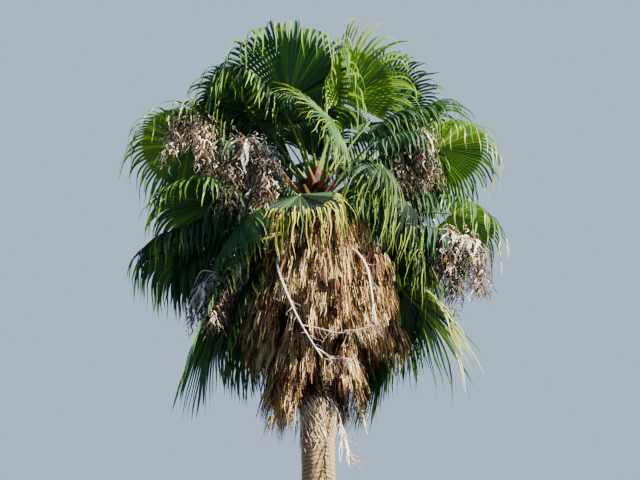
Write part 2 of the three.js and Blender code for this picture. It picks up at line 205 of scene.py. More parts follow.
# Draws for count like things: chance(key) gives one share each, the same ones each time
def drawer(seed, count):
    number = np.arange(count)
    return lambda key: seeded(seed + key, number)


# The value at a share of the way from one end of a range to the other
def within(ends, share):
    return ends[0] + (ends[1] - ends[0]) * share


# Unit vectors at a bearing and a rise
def towards(bearing, rise):
    b, r = np.broadcast_arrays(np.radians(bearing), np.radians(rise))
    return np.stack([np.cos(r) * np.cos(b), np.cos(r) * np.sin(b), np.sin(r)], -1)


# Faces of like grids, points being (grids, rows, columns, 3). wrap closes the columns into a tube.
# foot and tip, one point a grid, close it below its first row and above its last with a fan.
# A face keeps the paint number of its row, from paint (grids, rows). uv runs over columns, then rows.
# crease is the column whose edges stay sharp.
def weave(points, wrap=False, foot=None, tip=None, paint=0, crease=-1):
    grids, rows, columns = points.shape[:3]
    body = np.arange(grids * rows * columns).reshape(grids, rows, columns)
    beside = np.roll(body, -1, axis=2) if wrap else body[:, :, 1:]
    own = body if wrap else body[:, :, :-1]
    quads = np.stack([own[:, :-1], beside[:, :-1], beside[:, 1:], own[:, 1:]], -1)
    paint = np.broadcast_to(paint, (grids, rows))
    spans = (np.linspace(0, 1, columns), np.linspace(0, 1, rows)[:, None])
    part = {
        "points": [points.reshape(-1, 3)],
        "uv": [np.stack([np.broadcast_to(span, body.shape) for span in spans], -1).reshape(-1, 2)],
        "sharp": [np.broadcast_to(np.arange(columns) == crease, body.shape).ravel()],
        "quads": [quads.reshape(-1, 4)],
        "quadPaint": [np.repeat(paint[:, :-1].ravel(), own.shape[2])],
        "tris": [np.zeros((0, 3), int)],
        "triPaint": [np.zeros(0, int)],
    }
    count = body.size
    for end, row, v in ((foot, 0, 0.0), (tip, rows - 1, 1.0)):
        if end is None:
            continue
        centre = (count + np.arange(grids))[:, None] + np.zeros_like(own[:, 0])
        order = [beside[:, 0], own[:, 0], centre] if row == 0 else [own[:, row], beside[:, row], centre]
        part["points"].append(np.asarray(end, float).reshape(-1, 3))
        part["uv"].append(np.tile([0.5, v], (grids, 1)))
        part["sharp"].append(np.full(grids, crease >= 0))
        part["tris"].append(np.stack(order, -1).reshape(-1, 3))
        part["triPaint"].append(np.repeat(paint[:, row], own.shape[2]))
        count += grids
    return {key: np.concatenate(values) for key, values in part.items()}


# One mesh of all the parts, riding on the plant's one body in place of the nodes it stands for
def makePiece(name, parts, paints, nodes=()):
    firsts = np.cumsum([0] + [len(part["points"]) for part in parts])
    gather = lambda key: np.concatenate([part[key] for part in parts])
    moved = lambda key: np.concatenate([part[key] + first for part, first in zip(parts, firsts)])
    points, quads, tris = gather("points"), moved("quads"), moved("tris")
    corners = np.concatenate([quads.ravel(), tris.ravel()]).astype(np.int32)
    starts = np.concatenate([np.arange(len(quads)) * 4, len(quads) * 4 + np.arange(len(tris)) * 3])
    mesh = bpy.data.meshes.new(name)
    mesh.vertices.add(len(points))
    mesh.vertices.foreach_set("co", points.astype(np.float32).ravel())
    mesh.loops.add(len(corners))
    mesh.loops.foreach_set("vertex_index", corners)
    mesh.polygons.add(len(quads) + len(tris))
    mesh.polygons.foreach_set("loop_start", starts.astype(np.int32))
    painted = np.concatenate([gather("quadPaint"), gather("triPaint")])
    mesh.polygons.foreach_set("material_index", painted.astype(np.int32))
    mesh.update(calc_edges=True)
    layer = mesh.uv_layers.new(name="leaf")
    layer.data.foreach_set("uv", gather("uv")[corners].astype(np.float32).ravel())
    ends = np.empty(len(mesh.edges) * 2, np.int32)
    mesh.edges.foreach_get("vertices", ends)
    mesh.edges.foreach_set("use_edge_sharp", gather("sharp")[ends.reshape(-1, 2)].all(1))
    for paint in paints:
        mesh.materials.append(paint)
    if mesh.validate():
        print("  ", name, "had faulty faces")
    piece = addObject(name, mesh)
    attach(piece, "root")
    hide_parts(*nodes)
    print("  ", name, len(quads) * 2 + len(tris), "triangles")


# Tubes: at each point of a centre line, an ellipse with its width across the line and the reference
def tubes(lines, halfWidths, flatness=1.0, sides=6, reference=(0.0, 0.0, 1.0), paint=0):
    tangents = unit(np.gradient(lines, axis=1))
    across = unit(np.cross(reference, tangents))
    above = np.cross(tangents, across)
    turn = (2 * np.pi * (np.arange(sides) + 0.5) / sides)[:, None]
    rings = np.cos(turn) * across[:, :, None] + flatness * np.sin(turn) * above[:, :, None]
    halfWidths = np.broadcast_to(halfWidths, lines.shape[:2])[..., None, None]
    return weave(lines[:, :, None] + halfWidths * rings, True, lines[:, 0], lines[:, -1], paint)


def twigTubes(lines, look, reference=(0.0, 0.0, 1.0), paint=0):
    halfWidths = np.linspace(*look["half"], lines.shape[1])
    return tubes(lines, halfWidths, look.get("flatness", 1.0), look["sides"], reference, paint)


# Flat ribbons, two points wide
def ribbons(lines, across, paint):
    return weave(np.stack([lines - across, lines + across], 2), paint=paint)


# Half a leaf-shaped ribbon: sideways times its half width times the sine from one angle to another
def leafAcross(sideways, look):
    halfWidth, first, last = look["flat"]
    return sideways * (halfWidth * np.sin(np.linspace(first, last, look["rows"])))[:, None]


# Twigs: start + direction * length * s (1 - 0.4 s) - up * length * droop * s^2, waving sideways as s sin(7 s).
# Their lengths lie at a share of the look's range, times scale.
def hangingLines(starts, directions, share, look, seed, scale=1.0):
    s = np.linspace(0, 1, look["rows"])[None, :, None]
    size = (within(look["lengths"], share) * scale)[:, None, None]
    level = unit(np.cross(directions, [0.13, 0.21, 1.0]))[:, None]
    phase = 6.28 * drawer(seed, len(starts))(0)[:, None, None]
    line = starts[:, None] + directions[:, None] * size * s * (1 - 0.4 * s)
    line = line - up * size * look["droop"] * s ** 2
    return line + level * size * look["wave"] * s * np.sin(7 * s + phase)


# The trunk: radius = shaft + taper * e^(-z / fall) + flare * e^(-z / fall), on a gently swaying axis
palm = {
    "heart": 11.5,
    "shaft": 0.157, "taper": 0.092, "taperFall": 3.8, "flare": 0.135, "flareFall": 0.33,
    "sway": 0.055, "swayBack": 0.6, "swayEnds": 8.2,
    "footDrop": 0.33, "footRise": 0.3,  # green stems spring from below the heart, steeper ones higher up
    "kneeAt": 0.55, "steepest": 86,
}


def radiusAt(z):
    wide = palm["taper"] * np.exp(-z / palm["taperFall"])
    return palm["shaft"] + wide + palm["flare"] * np.exp(-z / palm["flareFall"])


# x = sway * sin(2 pi t) sin(pi t), y = -swayBack * sway * sin(pi t)^2, t being the share of swayEnds
def axisAt(z):
    z = np.asarray(z, float)
    t = np.minimum(z / palm["swayEnds"], 1)
    ease = np.sin(np.pi * t)
    right = palm["sway"] * np.sin(2 * np.pi * t) * ease
    return np.stack([right, -palm["swayBack"] * palm["sway"] * ease ** 2, z], -1)


# Points round the trunk's axis
def roundTrunk(radius, angle, z):
    return axisAt(z) + radius[..., None] * np.stack([np.cos(angle), np.sin(angle), 0 * angle], -1)


heart = axisAt(palm["heart"])


# What springs from the trunk, a frond or a stalk
def sprout(bearing, rise, **own):
    return {"bearing": bearing, "rise": rise, **own}


# The whorls of green fronds, youngest first, by the source's rule. tint names the leaf's green, tips what
# the ends of its segments are; the darkest tints are painted shade, and the light tips partly the leaves' own
# yellowing and partly painted sunlight. fillers are smaller fronds that fill the whorl's inside, each:
# bearing, rise, and where they differ from filler, reach, blade and spread.
whorls = [
    dict(
        blade=1.1, spread=128, fold=12, arch=5, nod=-8, sag=2, reach=1.15, limp=1.9, curl=1.1,
        filler=(0.4, 0.75, 50),
        fillers=[(100, 84, 0.4, 0.8, 60), (-20, 80, 0.42), (235, 78, 0.4, 0.7)],
        fronds=[
            sprout(225, 63, turn=45, reach=1.01, lift=60, sag=1.6, blade=1.76, look="open", tint="deep",
                   tips="sunny", tipRows=5, limp=3.3, curl=1.5),
            sprout(75, 80, turn=10, reach=0.9, lift=56, spread=96, tint="deep"),
            sprout(-46, 66, lift=64, roll=17, fold=34, reach=1.0, turn=-26, sag=2.7, blade=1.18, spread=108,
                   tint="sunny", tips="lime", limp=1.7, curl=0.4),
        ],
    ),
    dict(
        blade=1.08, spread=124, fold=14, arch=9, nod=6, sag=2.8, reach=1.18, limp=2.0, curl=0.7,
        filler=(0.85, 0.85, 110),
        fillers=[
            (90, 46, 0.8), (40, 60), (165, 60, 0.8), (240, 44, 0.78, 0.7, 100), (345, 40), (190, 42, 0.9),
        ],
        fronds=[
            sprout(15, 56, reach=1.37, turn=-80, lift=80, sag=2.2, blade=0.96, tint="deep", tips="sunny",
                   limp=2.6, curl=1.0),
            sprout(206, 44, turn=30, reach=1.15, sag=3.4, blade=1.06, tint="deep", tips="lime", tipRows=3,
                   limp=2.6),
            sprout(168, 33, reach=1.23, turn=8, nod=-6, roll=34, tint="deep", tips="sunny", tipRows=3),
            sprout(282, 28, reach=0.9, turn=-30, lift=-20, roll=-60, fold=10, sag=1.6, blade=0.92, spread=84,
                   limp=1.5, curl=0.3, look="fine", tips="lime", tipRows=3, mixed=0.4, lighter=2),
            sprout(12, 41, reach=1.26, turn=10, roll=-20),
            sprout(108, 57), sprout(70, 42), sprout(140, 43),
        ],
    ),
    dict(
        blade=1.06, spread=120, fold=16, arch=14, nod=12, sag=3.4, reach=1.33, limp=2.3, curl=0.4,
        filler=(0.85, 0.85, 110),
        fillers=[
            (108, 32), (50, 30, 0.9), (150, 34), (20, 6), (168, 0), (335, 4, 0.6, 0.8, 100),
            (212, -6, 0.62, 0.8, 100), (205, 14, 0.85, 0.8, 100), (325, 14, 0.88, 0.8, 100),
            (352, 16, 0.9, 0.8, 100), (60, 0, 0.78), (100, -3, 0.82), (140, 0, 0.78),
        ],
        fronds=[
            sprout(184, 20, reach=1.46, roll=40, tint="fresh", tips="pale", tipRows=3),
            sprout(-4, 20, reach=1.34, turn=-8, roll=-24, tint="fresh", tips="pale"),
            # A dark curtain in the crown's shadow: its darkest green is painted shade, its lighter segments
            # painted sunlit strips
            sprout(-50, -5, reach=1.02, lift=-58, sag=4.4, look="shaggy", tint="paintedShade", tips="lime", tipRows=4,
                   mixed=0.5, lighter=3),
            sprout(35, 20), sprout(63, 12), sprout(93, 20), sprout(122, 12), sprout(152, 18),
        ],
    ),
    dict(
        blade=1.04, spread=114, fold=18, arch=22, nod=18, sag=3.8, reach=1.26, limp=2.4, curl=0.3,
        filler=(0.85, 0.85, 100),
        fillers=[
            (-2, -32), (186, -40, 0.9), (236, -42, 0.6, 0.6, 80), (318, -38, 0.68, 0.78, 90),
            (170, -14, 1.0, 0.9, 110), (202, -24), (172, -31, 1.3, 0.95, 110), (187, -21, 1.2, 0.9, 110),
            (-6, -24, 1.2, 0.9), (60, -34, 0.9), (94, -32), (126, -36), (158, -34), (28, -32, 0.9),
        ],
        fronds=[
            sprout(192, -13, reach=1.12, lift=4, roll=24, sag=2.4, look="dense", tips="lime", tipRows=3),
            sprout(178, -24, reach=1.46, lift=-14, roll=18, look="dense", tint="deep", tips="sunny",
                   tipRows=3),
            sprout(216, -32, reach=1.15, lift=-62, turn=-24, spread=90, look="dense", tips="fresh", tipRows=3),
            # Hangs under the crown: its darkest green is painted shade on the blade's top, its lighter
            # segments painted sunlit ribs
            sprout(258, -28, reach=1.0, lift=-42, fold=8, sag=4.6, look="fine", tint="paintedShade", tips="gold",
                   tipRows=6, mixed=0.34, lighter=2),
            # Its darkest green is painted shade, where it hangs in the crown's shadow
            sprout(-28, -20, reach=1.12, lift=-56, look="shaggy", tint="paintedShade", tips="lime", tipRows=4),
            sprout(4, -9, reach=1.43, roll=-18, tips="pale"),
            sprout(44, -20), sprout(78, -14), sprout(109, -22), sprout(143, -16),
        ],
    ),
    dict(
        blade=1.1, spread=96, fold=8, arch=40, nod=12, sag=2, reach=1.4, limp=1.5, curl=0.25,
        filler=(1.15, 0.9, 80),
        fillers=[
            (14, -62, 1.1), (190, -56, 1.2, 0.95), (172, -58, 1.4, 1.2), (185, -56, 1.25, 1.0),
            (30, -52, 1.35, 1.0), (52, -64), (90, -62), (127, -64), (163, -62, 1.1), (26, -67, 1.8, 1.0, 42),
        ],
        fronds=[
            sprout(178, -50, reach=1.56, blade=1.42, spread=106, sag=1.2, limp=0.6, look="dense", tint="deep"),
            sprout(-8, -54, reach=1.52, lift=-40, blade=1.38, spread=72, turn=26, limp=1.0, look="pointed",
                   tint="deep", tips="pale", tipRows=4, tipsUpTo=0.5, mixed=0.4, lighter=2),
            # Its darkest green is painted shade, where it hangs in the crown's shadow
            sprout(-20, -36, reach=1.3, blade=1.04, spread=64, turn=14, lift=-58, sag=3, look="shaggy",
                   tint="paintedShade", tips="lime", tipRows=3),
            sprout(32, -52), sprout(72, -57), sprout(110, -52, tint="deep"), sprout(144, -55, tint="deep"),
        ],
    ),
]

# Stems: width at the foot, width at the tip, depth as a share of width, lengths, sides
stemShapes = {
    "fruit": (0.066, 0.026, 0.7, 6, 4), "bare": (0.054, 0.02, 0.8, 8, 4),
    "dead": (0.084, 0.04, 0.6, 3, 4), "green": (0.088, 0.034, 0.6, 4, 4),
}
# The places for a seat that the source's rule tries, in its order: more arch, higher up, to one side
seatTries = {
    "bow": (0, 7, -7, 14, -14),
    "shift": (0, 0.045, -0.045, 0.09, -0.09, 0.14, -0.14, 0.19, -0.19, 0.24, -0.24, 0.3, -0.3),
    "aside": (0, 0.05, -0.05, 0.095, -0.095),
}


def footHeight(rise):
    return palm["heart"] - palm["footDrop"] + palm["footRise"] * math.sin(math.radians(rise))


# Quadratic curve: (1 - t)^2 foot + 2 t (1 - t) knee + t^2 end, and the unit vector along it
def bezier(foot, knee, end, t):
    t = np.asarray(t, float)[..., None]
    return (1 - t) ** 2 * foot + 2 * t * (1 - t) * knee + t ** 2 * end


def bezierSlope(foot, knee, end, t):
    t = np.asarray(t, float)[..., None]
    return unit((1 - t) * (knee - foot) + t * (end - knee))


def stemLine(stem, t):
    return bezier(stem["foot"], stem["knee"], stem["end"], t)


# Half a stem's width: half of thin + (thick - thin) (1 - t)^power
def stemHalf(thick, thin, t, power=1.6):
    return 0.5 * (thin + (thick - thin) * (1 - t) ** power)


# A knee stands at kneeAt of the way along the course that the stem sets out on, bowed upwards by arch
def kneeOf(foot, end, bearing, rise, arch):
    reach = np.linalg.norm(end - foot, axis=-1, keepdims=True)
    return foot + towards(bearing, np.minimum(rise + arch, palm["steepest"])) * reach * palm["kneeAt"]


# A stem's curve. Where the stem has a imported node, its seat is found again: of the places that the rule
# tries, the one whose rings lie on that node's points.
def seatStem(name, spec, end, footZ, shape):
    start = spec["bearing"] + spec.get("swing", 0)
    bow, shift, aside = (g.ravel() for g in np.meshgrid(*seatTries.values(), indexing="ij"))
    across = np.array([-math.sin(math.radians(start)), math.cos(math.radians(start)), 0.0])
    foot = axisAt(np.minimum(footZ + shift, palm["heart"] - 0.02)) + across * aside[:, None]
    knee = kneeOf(foot, end, start, spec["rise"], spec["arch"] + bow)
    best = 0
    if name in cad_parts:
        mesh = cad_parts[name].data
        points = np.empty(len(mesh.vertices) * 3, np.float32)
        mesh.vertices.foreach_get("co", points)
        thick, thin, flatness, lengths, sides = shape
        t = np.arange((lengths + 1) // 2, lengths) / lengths
        lines = bezier(foot[:, None], knee[:, None], end, t)
        slopes = bezierSlope(foot[:, None], knee[:, None], end, t)
        level = unit(np.cross(slopes, up))
        corner = math.pi / sides
        ring = math.cos(corner) * level + flatness * math.sin(corner) * np.cross(level, slopes)
        probe = lines + stemHalf(thick, thin, t)[None, :, None] * ring
        gaps = np.linalg.norm(probe[:, :, None] - points.reshape(-1, 3), axis=-1).min(-1).mean(-1)
        best = int(gaps.argmin())
    return {"foot": foot[best], "knee": knee[best], "end": end}


def farEnd(spec):
    return heart + towards(spec["bearing"], spec["rise"]) * spec["reach"]


# Where a blade stands: its axis leaves the stem at the stem's own rise less nod, or at lift, and is rolled
def bladeStand(stem, spec):
    slope = bezierSlope(stem["foot"], stem["knee"], stem["end"], 1.0)
    rise = spec.get("lift", math.degrees(math.asin(slope[2])) - spec.get("nod", 0))
    bearing = spec["bearing"] + spec.get("turn", 0)
    axis = towards(bearing, rise)
    level = towards(bearing + 90, 0.0)
    roll = math.radians(spec.get("roll", 0))
    across = level * math.cos(roll) + np.cross(axis, level) * math.sin(roll)
    return {"hub": stem["end"], "axis": axis, "across": across, "normal": unit(np.cross(axis, across))}


bladeRule = {
    "droopStart": 0.36,  # share of its length where a leaflet starts to bend down
    "droopGain": 1.6, "backBend": 0.25, "curlGain": 1.5, "steps": 24,
    "shortening": 0.62,  # how much shorter a leaflet opposite the axis would be
    "freeFall": 0.4,  # the least turn, as a share of the tip's, where it is free of its neighbours
}


# Lines of a blade, at equal steps from the hub, of length blade * (1 - shortening * (angle / 180)^2) * share.
# Each sets out at its angle from the axis, in a plane that is tucked down on either side. Past droopStart it
# turns towards the ground by droopGain * sag * its place in the rest. Past the notches, at united, that turn
# is limp times as much, and leans more to the underside, by a curl that fades out towards the tip.
def bladeLines(blade, angles, united=1.0, limp=1.0, share=1.0):
    steps = bladeRule["steps"]
    lengths = blade["blade"] * (1 - bladeRule["shortening"] * (np.abs(angles) / 180) ** 2) * share
    side = np.radians(angles)[:, None]
    tuck = math.radians(blade["fold"])
    lean = np.where(angles < 0, -1.0, 1.0)[:, None]
    dropped = blade["across"] * math.cos(tuck) - blade["normal"] * math.sin(tuck) * lean
    course = unit(blade["axis"] * np.cos(side) + dropped * np.sin(side))
    first = sideways = unit(dropped * np.cos(side) - blade["axis"] * np.sin(side))
    point = np.zeros_like(course) + blade["hub"]
    rows = [(point, sideways, course)]
    for k in range(steps):
        gone = (k + 0.5) / steps
        free = gone > united
        fall = max(0.0, gone - bladeRule["droopStart"]) / (1 - bladeRule["droopStart"])
        fall = max(fall, bladeRule["freeFall"]) if free else fall
        bend = bladeRule["droopGain"] * blade["sag"] * fall / steps * (limp if free else 1.0)
        curl = bladeRule["curlGain"] * blade["curl"] * (1 - gone)
        back = curl / (1 - united) if free else bladeRule["backBend"]
        pull = -up - back * blade["normal"] + 0 * course
        pull = pull - course * along(pull, course)
        course = unit(course + pull * np.reshape(bend, (-1, 1)))
        point = point + course * (lengths / steps)[:, None]
        sideways = unit(first - course * along(first, course))
        rows.append((point, sideways, course))
    return [np.stack(column, 1) for column in zip(*rows)]


# Values of a line's arrays at shares (lines, rows) of its length
def sampleLines(arrays, shares):
    place = np.clip(shares, 0, 1) * bladeRule["steps"]
    k = np.minimum(place.astype(int), bladeRule["steps"] - 1)
    mix = (place - k)[..., None]
    pick = np.arange(len(shares))[:, None]
    return [a[pick, k] * (1 - mix) + a[pick, k + 1] * mix for a in arrays]


# One fan of pleated segments. Up to the notch each is a trough between two shared seams; past it, a folded
# ribbon that narrows as (1 - t^2.6)(1 - 0.2 t), turns over by twist * t and hangs by its own looseness.
def fanBlade(blade, look, seed, paint):
    count = int(round(2 * blade["spread"] / look["degreesEach"]))
    step = 2 * blade["spread"] / count
    chance = drawer(seed, count)
    united = look["united"]
    limp = blade["limp"] * (1 + look["looseness"] * (chance(0) - 0.5))
    ribs = bladeLines(blade, -blade["spread"] + (np.arange(count) + 0.5) * step, united, limp)
    seams = bladeLines(blade, -blade["spread"] + np.arange(count + 1) * step)
    inner = np.array(look["innerRows"]) * united
    outer = np.array(look["outerRows"])
    joined = len(inner)
    trim = 1 - look["ragged"] * chance(0.37) ** 1.5
    free = united + (trim[:, None] - united) * outer
    point, sideways, course = sampleLines(ribs, np.concatenate([np.tile(inner, (count, 1)), free], 1))
    seamPoint, seamSide, seamCourse = sampleLines(seams, np.tile(inner, (count + 1, 1)))
    width = np.linalg.norm(np.diff(seamPoint, axis=0), axis=-1)
    seamWidth = np.concatenate([width[:1], width])[..., None]
    ridge = seamPoint + unit(np.cross(seamCourse, seamSide)) * seamWidth * 0.5 * look["pleat"]
    normal = unit(np.cross(course, sideways))
    trough = point[:, :joined] - normal[:, :joined] * width[..., None] * 0.5 * look["pleat"]
    half = width[:, -1:] * 0.5 * (1 - outer ** 2.6) * (1 - 0.2 * outer) * look["fullness"]
    turn = (look["twist"] * (chance(0.71)[:, None] * 2 - 1) * outer)[..., None]
    side, out = sideways[:, joined:], normal[:, joined:]
    vee = math.radians(look["vee"])
    reach = half[..., None] * ((side * np.cos(turn) + out * np.sin(turn)) * math.cos(vee))
    lift = half[..., None] * (out * np.cos(turn) - side * np.sin(turn)) * math.sin(vee)
    swing = look["wave"] * np.sin(outer * 9 + 6.3 * chance(0.13)[:, None]) * outer
    middle = point[:, joined:] + side * swing[..., None]
    columns = ((ridge[1:], middle + reach + lift), (trough, middle), (ridge[:-1], middle - reach + lift))
    points = np.stack([np.concatenate(column, 1) for column in columns], 2)
    tip = sampleLines(ribs, trim[:, None])[0][:, 0] + sideways[:, -1] * swing[:, -1:]
    return weave(points, tip=tip, paint=paint(chance, points.shape[1]), crease=1)


greenLook = {
    "degreesEach": 4.4, "united": 0.47, "pleat": 0.42, "fullness": 0.86, "vee": 28, "twist": 1.3,
    "looseness": 0.9, "ragged": 0.2, "wave": 0.014,
    "innerRows": (0.05, 0.36, 0.7, 1.0), "outerRows": (0.1, 0.24, 0.38, 0.52, 0.66, 0.8, 0.92),
}
# Shaggy fronds, old ones that hang beside the skirt, are split nearly to the hub, into thin tangled strips
ownLooks = {
    "shaggy": dict(degreesEach=3.4, united=0.22, fullness=1.2, twist=2.4, looseness=1.5, ragged=0.5,
                   wave=0.035),
    "pointed": dict(degreesEach=3.0, united=0.28, fullness=1.9, twist=1.4, looseness=1.1, ragged=0.35,
                    wave=0.02),
    "fine": dict(degreesEach=3.5, united=0.4, fullness=0.84, twist=2.0, looseness=1.3, ragged=0.4,
                 wave=0.022),
    "open": dict(united=0.38, looseness=0.5, ragged=0.12, pleat=0.3),
    "dense": dict(fullness=1.3, ragged=0.14),
}
# Greens from dark to light: colour, the light let through, how rough the wax is. The darkest is painted shade
# for fronds that hang in the crown's shadow, and deep is partly painted shade and partly the older leaves' own
# dark green. The lighter ones, from sunny up, on tips, lighter segments and the backlit blade, are partly the
# leaves' own yellowing and partly painted sunlight.
greens = {
    "paintedShade": ("#10200f", 0.06, 0.77), "deep": ("#26462c", 0.1, 0.44), "middle": ("#315426", 0.16, 0.44),
    "fresh": ("#406226", 0.22, 0.44), "sunny": ("#5a7a24", 0.28, 0.44), "lime": ("#7c9334", 0.28, 0.44),
    "gold": ("#a5ab42", 0.26, 0.44), "pale": ("#a8b06c", 0.24, 0.44),
}
greenOrder = list(greens)
greenPaints = [tintPaint(name + "Leaf", code, leafFinish, through=through, rough=rough)
               for name, (code, through, rough) in greens.items()]
frondTints = {
    "tint": "middle",
    # Lighter segments vary the green at random; on the darkest fronds they are painted sunlit strips over
    # painted shade.
    "mixed": 0.28, "lighter": 1,  # share of the segments that are lighter, and by how many greens
    "darker": 0.1,  # share of them that are one green darker
    # Tips take their own green: partly the leaves' yellowing, partly painted sunlight on the lit ends.
    "tipRows": 2,  # fewest rows at a segment's end in the tips' green
    "plainTips": 0.2, "tipsUpTo": 1,  # share without such ends, and share of the fan past which there are none
}


# Paint numbers of a frond's segments, row by row
def frondPaint(spec):
    spec = {**frondTints, **spec}
    tint = greenOrder.index(spec["tint"])
    tips = greenOrder.index(spec["tips"]) if "tips" in spec else tint + 1

    def paint(chance, rows):
        shade = np.where(chance(0.53) < spec["mixed"], tint + spec["lighter"], tint)
        shade = np.where(chance(0.59) > 1 - spec["darker"], max(tint - 1, 0), shade)[:, None]
        beyond = np.arange(len(shade)) > spec["tipsUpTo"] * len(shade)
        plain = (chance(0.73) > 1 - spec["plainTips"]) | beyond
        tipRows = np.where(plain, 0, spec["tipRows"] + (chance(0.67) * 3).astype(int))
        return np.where(np.arange(rows) >= rows - tipRows[:, None], tips, shade)

    return paint


# A petiole: the source's stem, cupped, broad where it clasps the trunk, and running on under the blade
petioleLook = {
    "rows": 15, "sides": 8, "flatness": 0.5, "thickness": 0.8, "clasp": 0.024, "claspFall": 0.17,
    "baseReach": 0.27, "darkReach": 0.2, "yellowFrom": 0.7,
    "costa": 0.26, "costaShares": (0.09, 0.17), "costaHalf": (0.011, 0.007, 0.0015), "costaDrop": 0.012,
}
petiolePaints = [
    tintPaint("leafBase", "#6a4a2e", dryFinish),
    tintPaint("petioleGreen", "#546c2e", leafFinish, rough=0.37, through=0.05),
    tintPaint("petioleYellow", "#7c8238", leafFinish, rough=0.37, through=0.05),
    tintPaint("leafBaseDark", "#3d2a1b", dryFinish),
    tintPaint("leafBaseRed", "#6b4426", dryFinish),
]
petioleTints = {"bases": (0, 3, 4), "dark": 3, "green": 1, "yellow": 2}


# base is the paint number of its broad base
def petiolePart(stem, blade, shape, look, base):
    t = np.linspace(0, 1, look["rows"])
    line = stemLine(stem, t)
    reach = np.linalg.norm(line - line[0], axis=1)
    half = stemHalf(*shape[:2], t) * look["thickness"]
    half = half + look["clasp"] * np.exp(-(((reach - palm["shaft"]) / look["claspFall"]) ** 2))
    shade = np.where(t > look["yellowFrom"], petioleTints["yellow"], petioleTints["green"])
    shade = np.where(reach < look["baseReach"], base, shade)
    shade = np.where(reach < look["darkReach"], petioleTints["dark"], shade)
    if look["costa"]:
        shares = np.array([[*look["costaShares"], look["costa"] / blade["blade"]]])
        tail = sampleLines(bladeLines(blade, np.array([0.001])), shares)[0][0]
        line = np.concatenate([line, tail - blade["normal"] * look["costaDrop"]])
        half = np.concatenate([half, look["costaHalf"]])
        shade = np.concatenate([shade, [petioleTints["yellow"]] * len(tail)])
    return tubes(line[None], half[None], look["flatness"], look["sides"], paint=shade[None])


petioles = []


def growFrond(name, spec, seed):
    stem = seatStem(name, spec, farEnd(spec), footHeight(spec["rise"]), stemShapes["green"])
    blade = {**spec, **bladeStand(stem, spec)}
    base = petioleTints["bases"][len(petioles) % 3]
    petioles.append(petiolePart(stem, blade, stemShapes["green"], petioleLook, base))
    return fanBlade(blade, {**greenLook, **ownLooks.get(spec.get("look"), {})}, seed, frondPaint(spec))


print("green fronds")
frondIndex = 0
for w, whorl in enumerate(whorls):
    blades, names = [], []
    for own in whorl["fronds"]:
        frondIndex += 1
        names.append(f"frond_{frondIndex:02d}")
        blades.append(growFrond(names[-1], {**whorl, **own}, frondIndex))
    for k, filler in enumerate(whorl["fillers"]):
        reach, blade, spread = (filler + whorl["filler"][len(filler) - 2:])[2:]
        # Fillers inside the crown take the deep green, partly painted shade.
        own = sprout(*filler[:2], reach=reach, blade=blade, spread=spread, tint="deep", look="dense")
        blades.append(growFrond("", {**whorl, **own}, 100 + w * 10 + k))
    makePiece(f"greenBlades_{w + 1}", blades, greenPaints, names)
makePiece("petioles", petioles, petiolePaints)

# Leaf bases that stay on the trunk between the petioles: short broad cups in a spiral, each turning outwards
bootLook = {
    "count": 84, "rows": 8, "columns": 7, "heights": (10.0, 11.22), "turn": 137.5, "lengths": (0.18, 0.39),
    "halfWidths": (0.032, 0.048), "narrowing": 0.62, "out": (0.12, 0.32), "clear": 0.012, "cup": 0.02,
    "slant": 0.25,
}
bootPaints = dryPaints({
    "bootBrown": "#5d4128", "bootTan": "#856640", "bootDark": "#35251a", "bootStraw": "#a88a5a",
})


# Along a boot r = trunk + out * s^2, z = start + length * s (1 - s / 4); across it the edges curl outwards
def bootsPart(look):
    draw = drawer(7, look["count"])
    chance = lambda key: draw(key)[:, None, None]
    number = np.arange(look["count"])[:, None, None]
    s = np.linspace(0, 1, look["rows"])[None, :, None]
    w = np.linspace(-1, 1, look["columns"])
    width = within(look["halfWidths"], chance(0.2)) * (1 - look["narrowing"] * s ** 1.3)
    out = within(look["out"], chance(0.3)) * s ** 2 + look["clear"] + look["cup"] * s * w ** 2
    climb = within(look["lengths"], chance(0.1)) * s * (1 - 0.25 * s)
    z = within(look["heights"], number / look["count"]) + climb + 0 * w
    radius = radiusAt(z) + out
    angle = np.radians(look["turn"]) * number + w * width / radius + look["slant"] * s * (chance(0.4) - 0.5)
    shade = (draw(0.5) * 3.99).astype(int)
    return weave(roundTrunk(radius, angle, z)[:, :, ::-1], paint=shade[:, None])


print("leaf bases")
makePiece("leafBoots", [bootsPart(bootLook)], bootPaints)

# The dead skirt: tiers by the source's rule, with extra fronds round each of those that the solids stand for.
# changes are the stretches of a tier where the extra ones are trimmed, moved out or lowered.
skirtTiers = [
    dict(count=6, first=262, hubOut=0.65, hubDrop=0.7, footDrop=0.48, blade=1.02, spread=84, lift=-50, sag=6,
         extra=7, changes=[]),
    dict(count=5, first=283, hubOut=0.65, hubDrop=1.18, footDrop=0.86, blade=1.04, spread=78, lift=-56,
         sag=5.6, extra=8, changes=[]),
    dict(count=4, first=225, hubOut=0.43, hubDrop=1.75, footDrop=1.42, blade=0.92, spread=52, lift=-70, sag=5,
         extra=7, changes=[
             dict(bearing=270, halfWidth=36, trim=0.55, out=0, drop=0),  # shorter before the trunk
             dict(bearing=318, halfWidth=27, trim=1, out=0.13, drop=-0.1),  # and stands out beside it
         ]),
]
skirtCommon = {"rise": -30, "arch": 24, "fold": 10, "limp": 2.5, "curl": 0.2}
skirtScatter = {"hubOut": 0.09, "hubDrop": 0.24, "lift": 26, "blade": 0.2}
extraScatter = {"bearing": 0.1, "hubOut": 0.2, "hubDrop": 0.62, "blade": 0.3, "longest": 0.82, "spread": 30}
dryLook = {
    "closing": 0.62,  # share of its spread that a dead fan keeps
    "degreesEach": 4.4, "united": 0.3, "pleat": 0.8, "fullness": 0.7, "vee": 48, "twist": 2.2,
    "looseness": 1.2, "ragged": 0.5, "wave": 0.02,
    "innerRows": (0.05, 0.5, 1.0), "outerRows": (0.12, 0.26, 0.4, 0.54, 0.68, 0.82, 0.93),
}
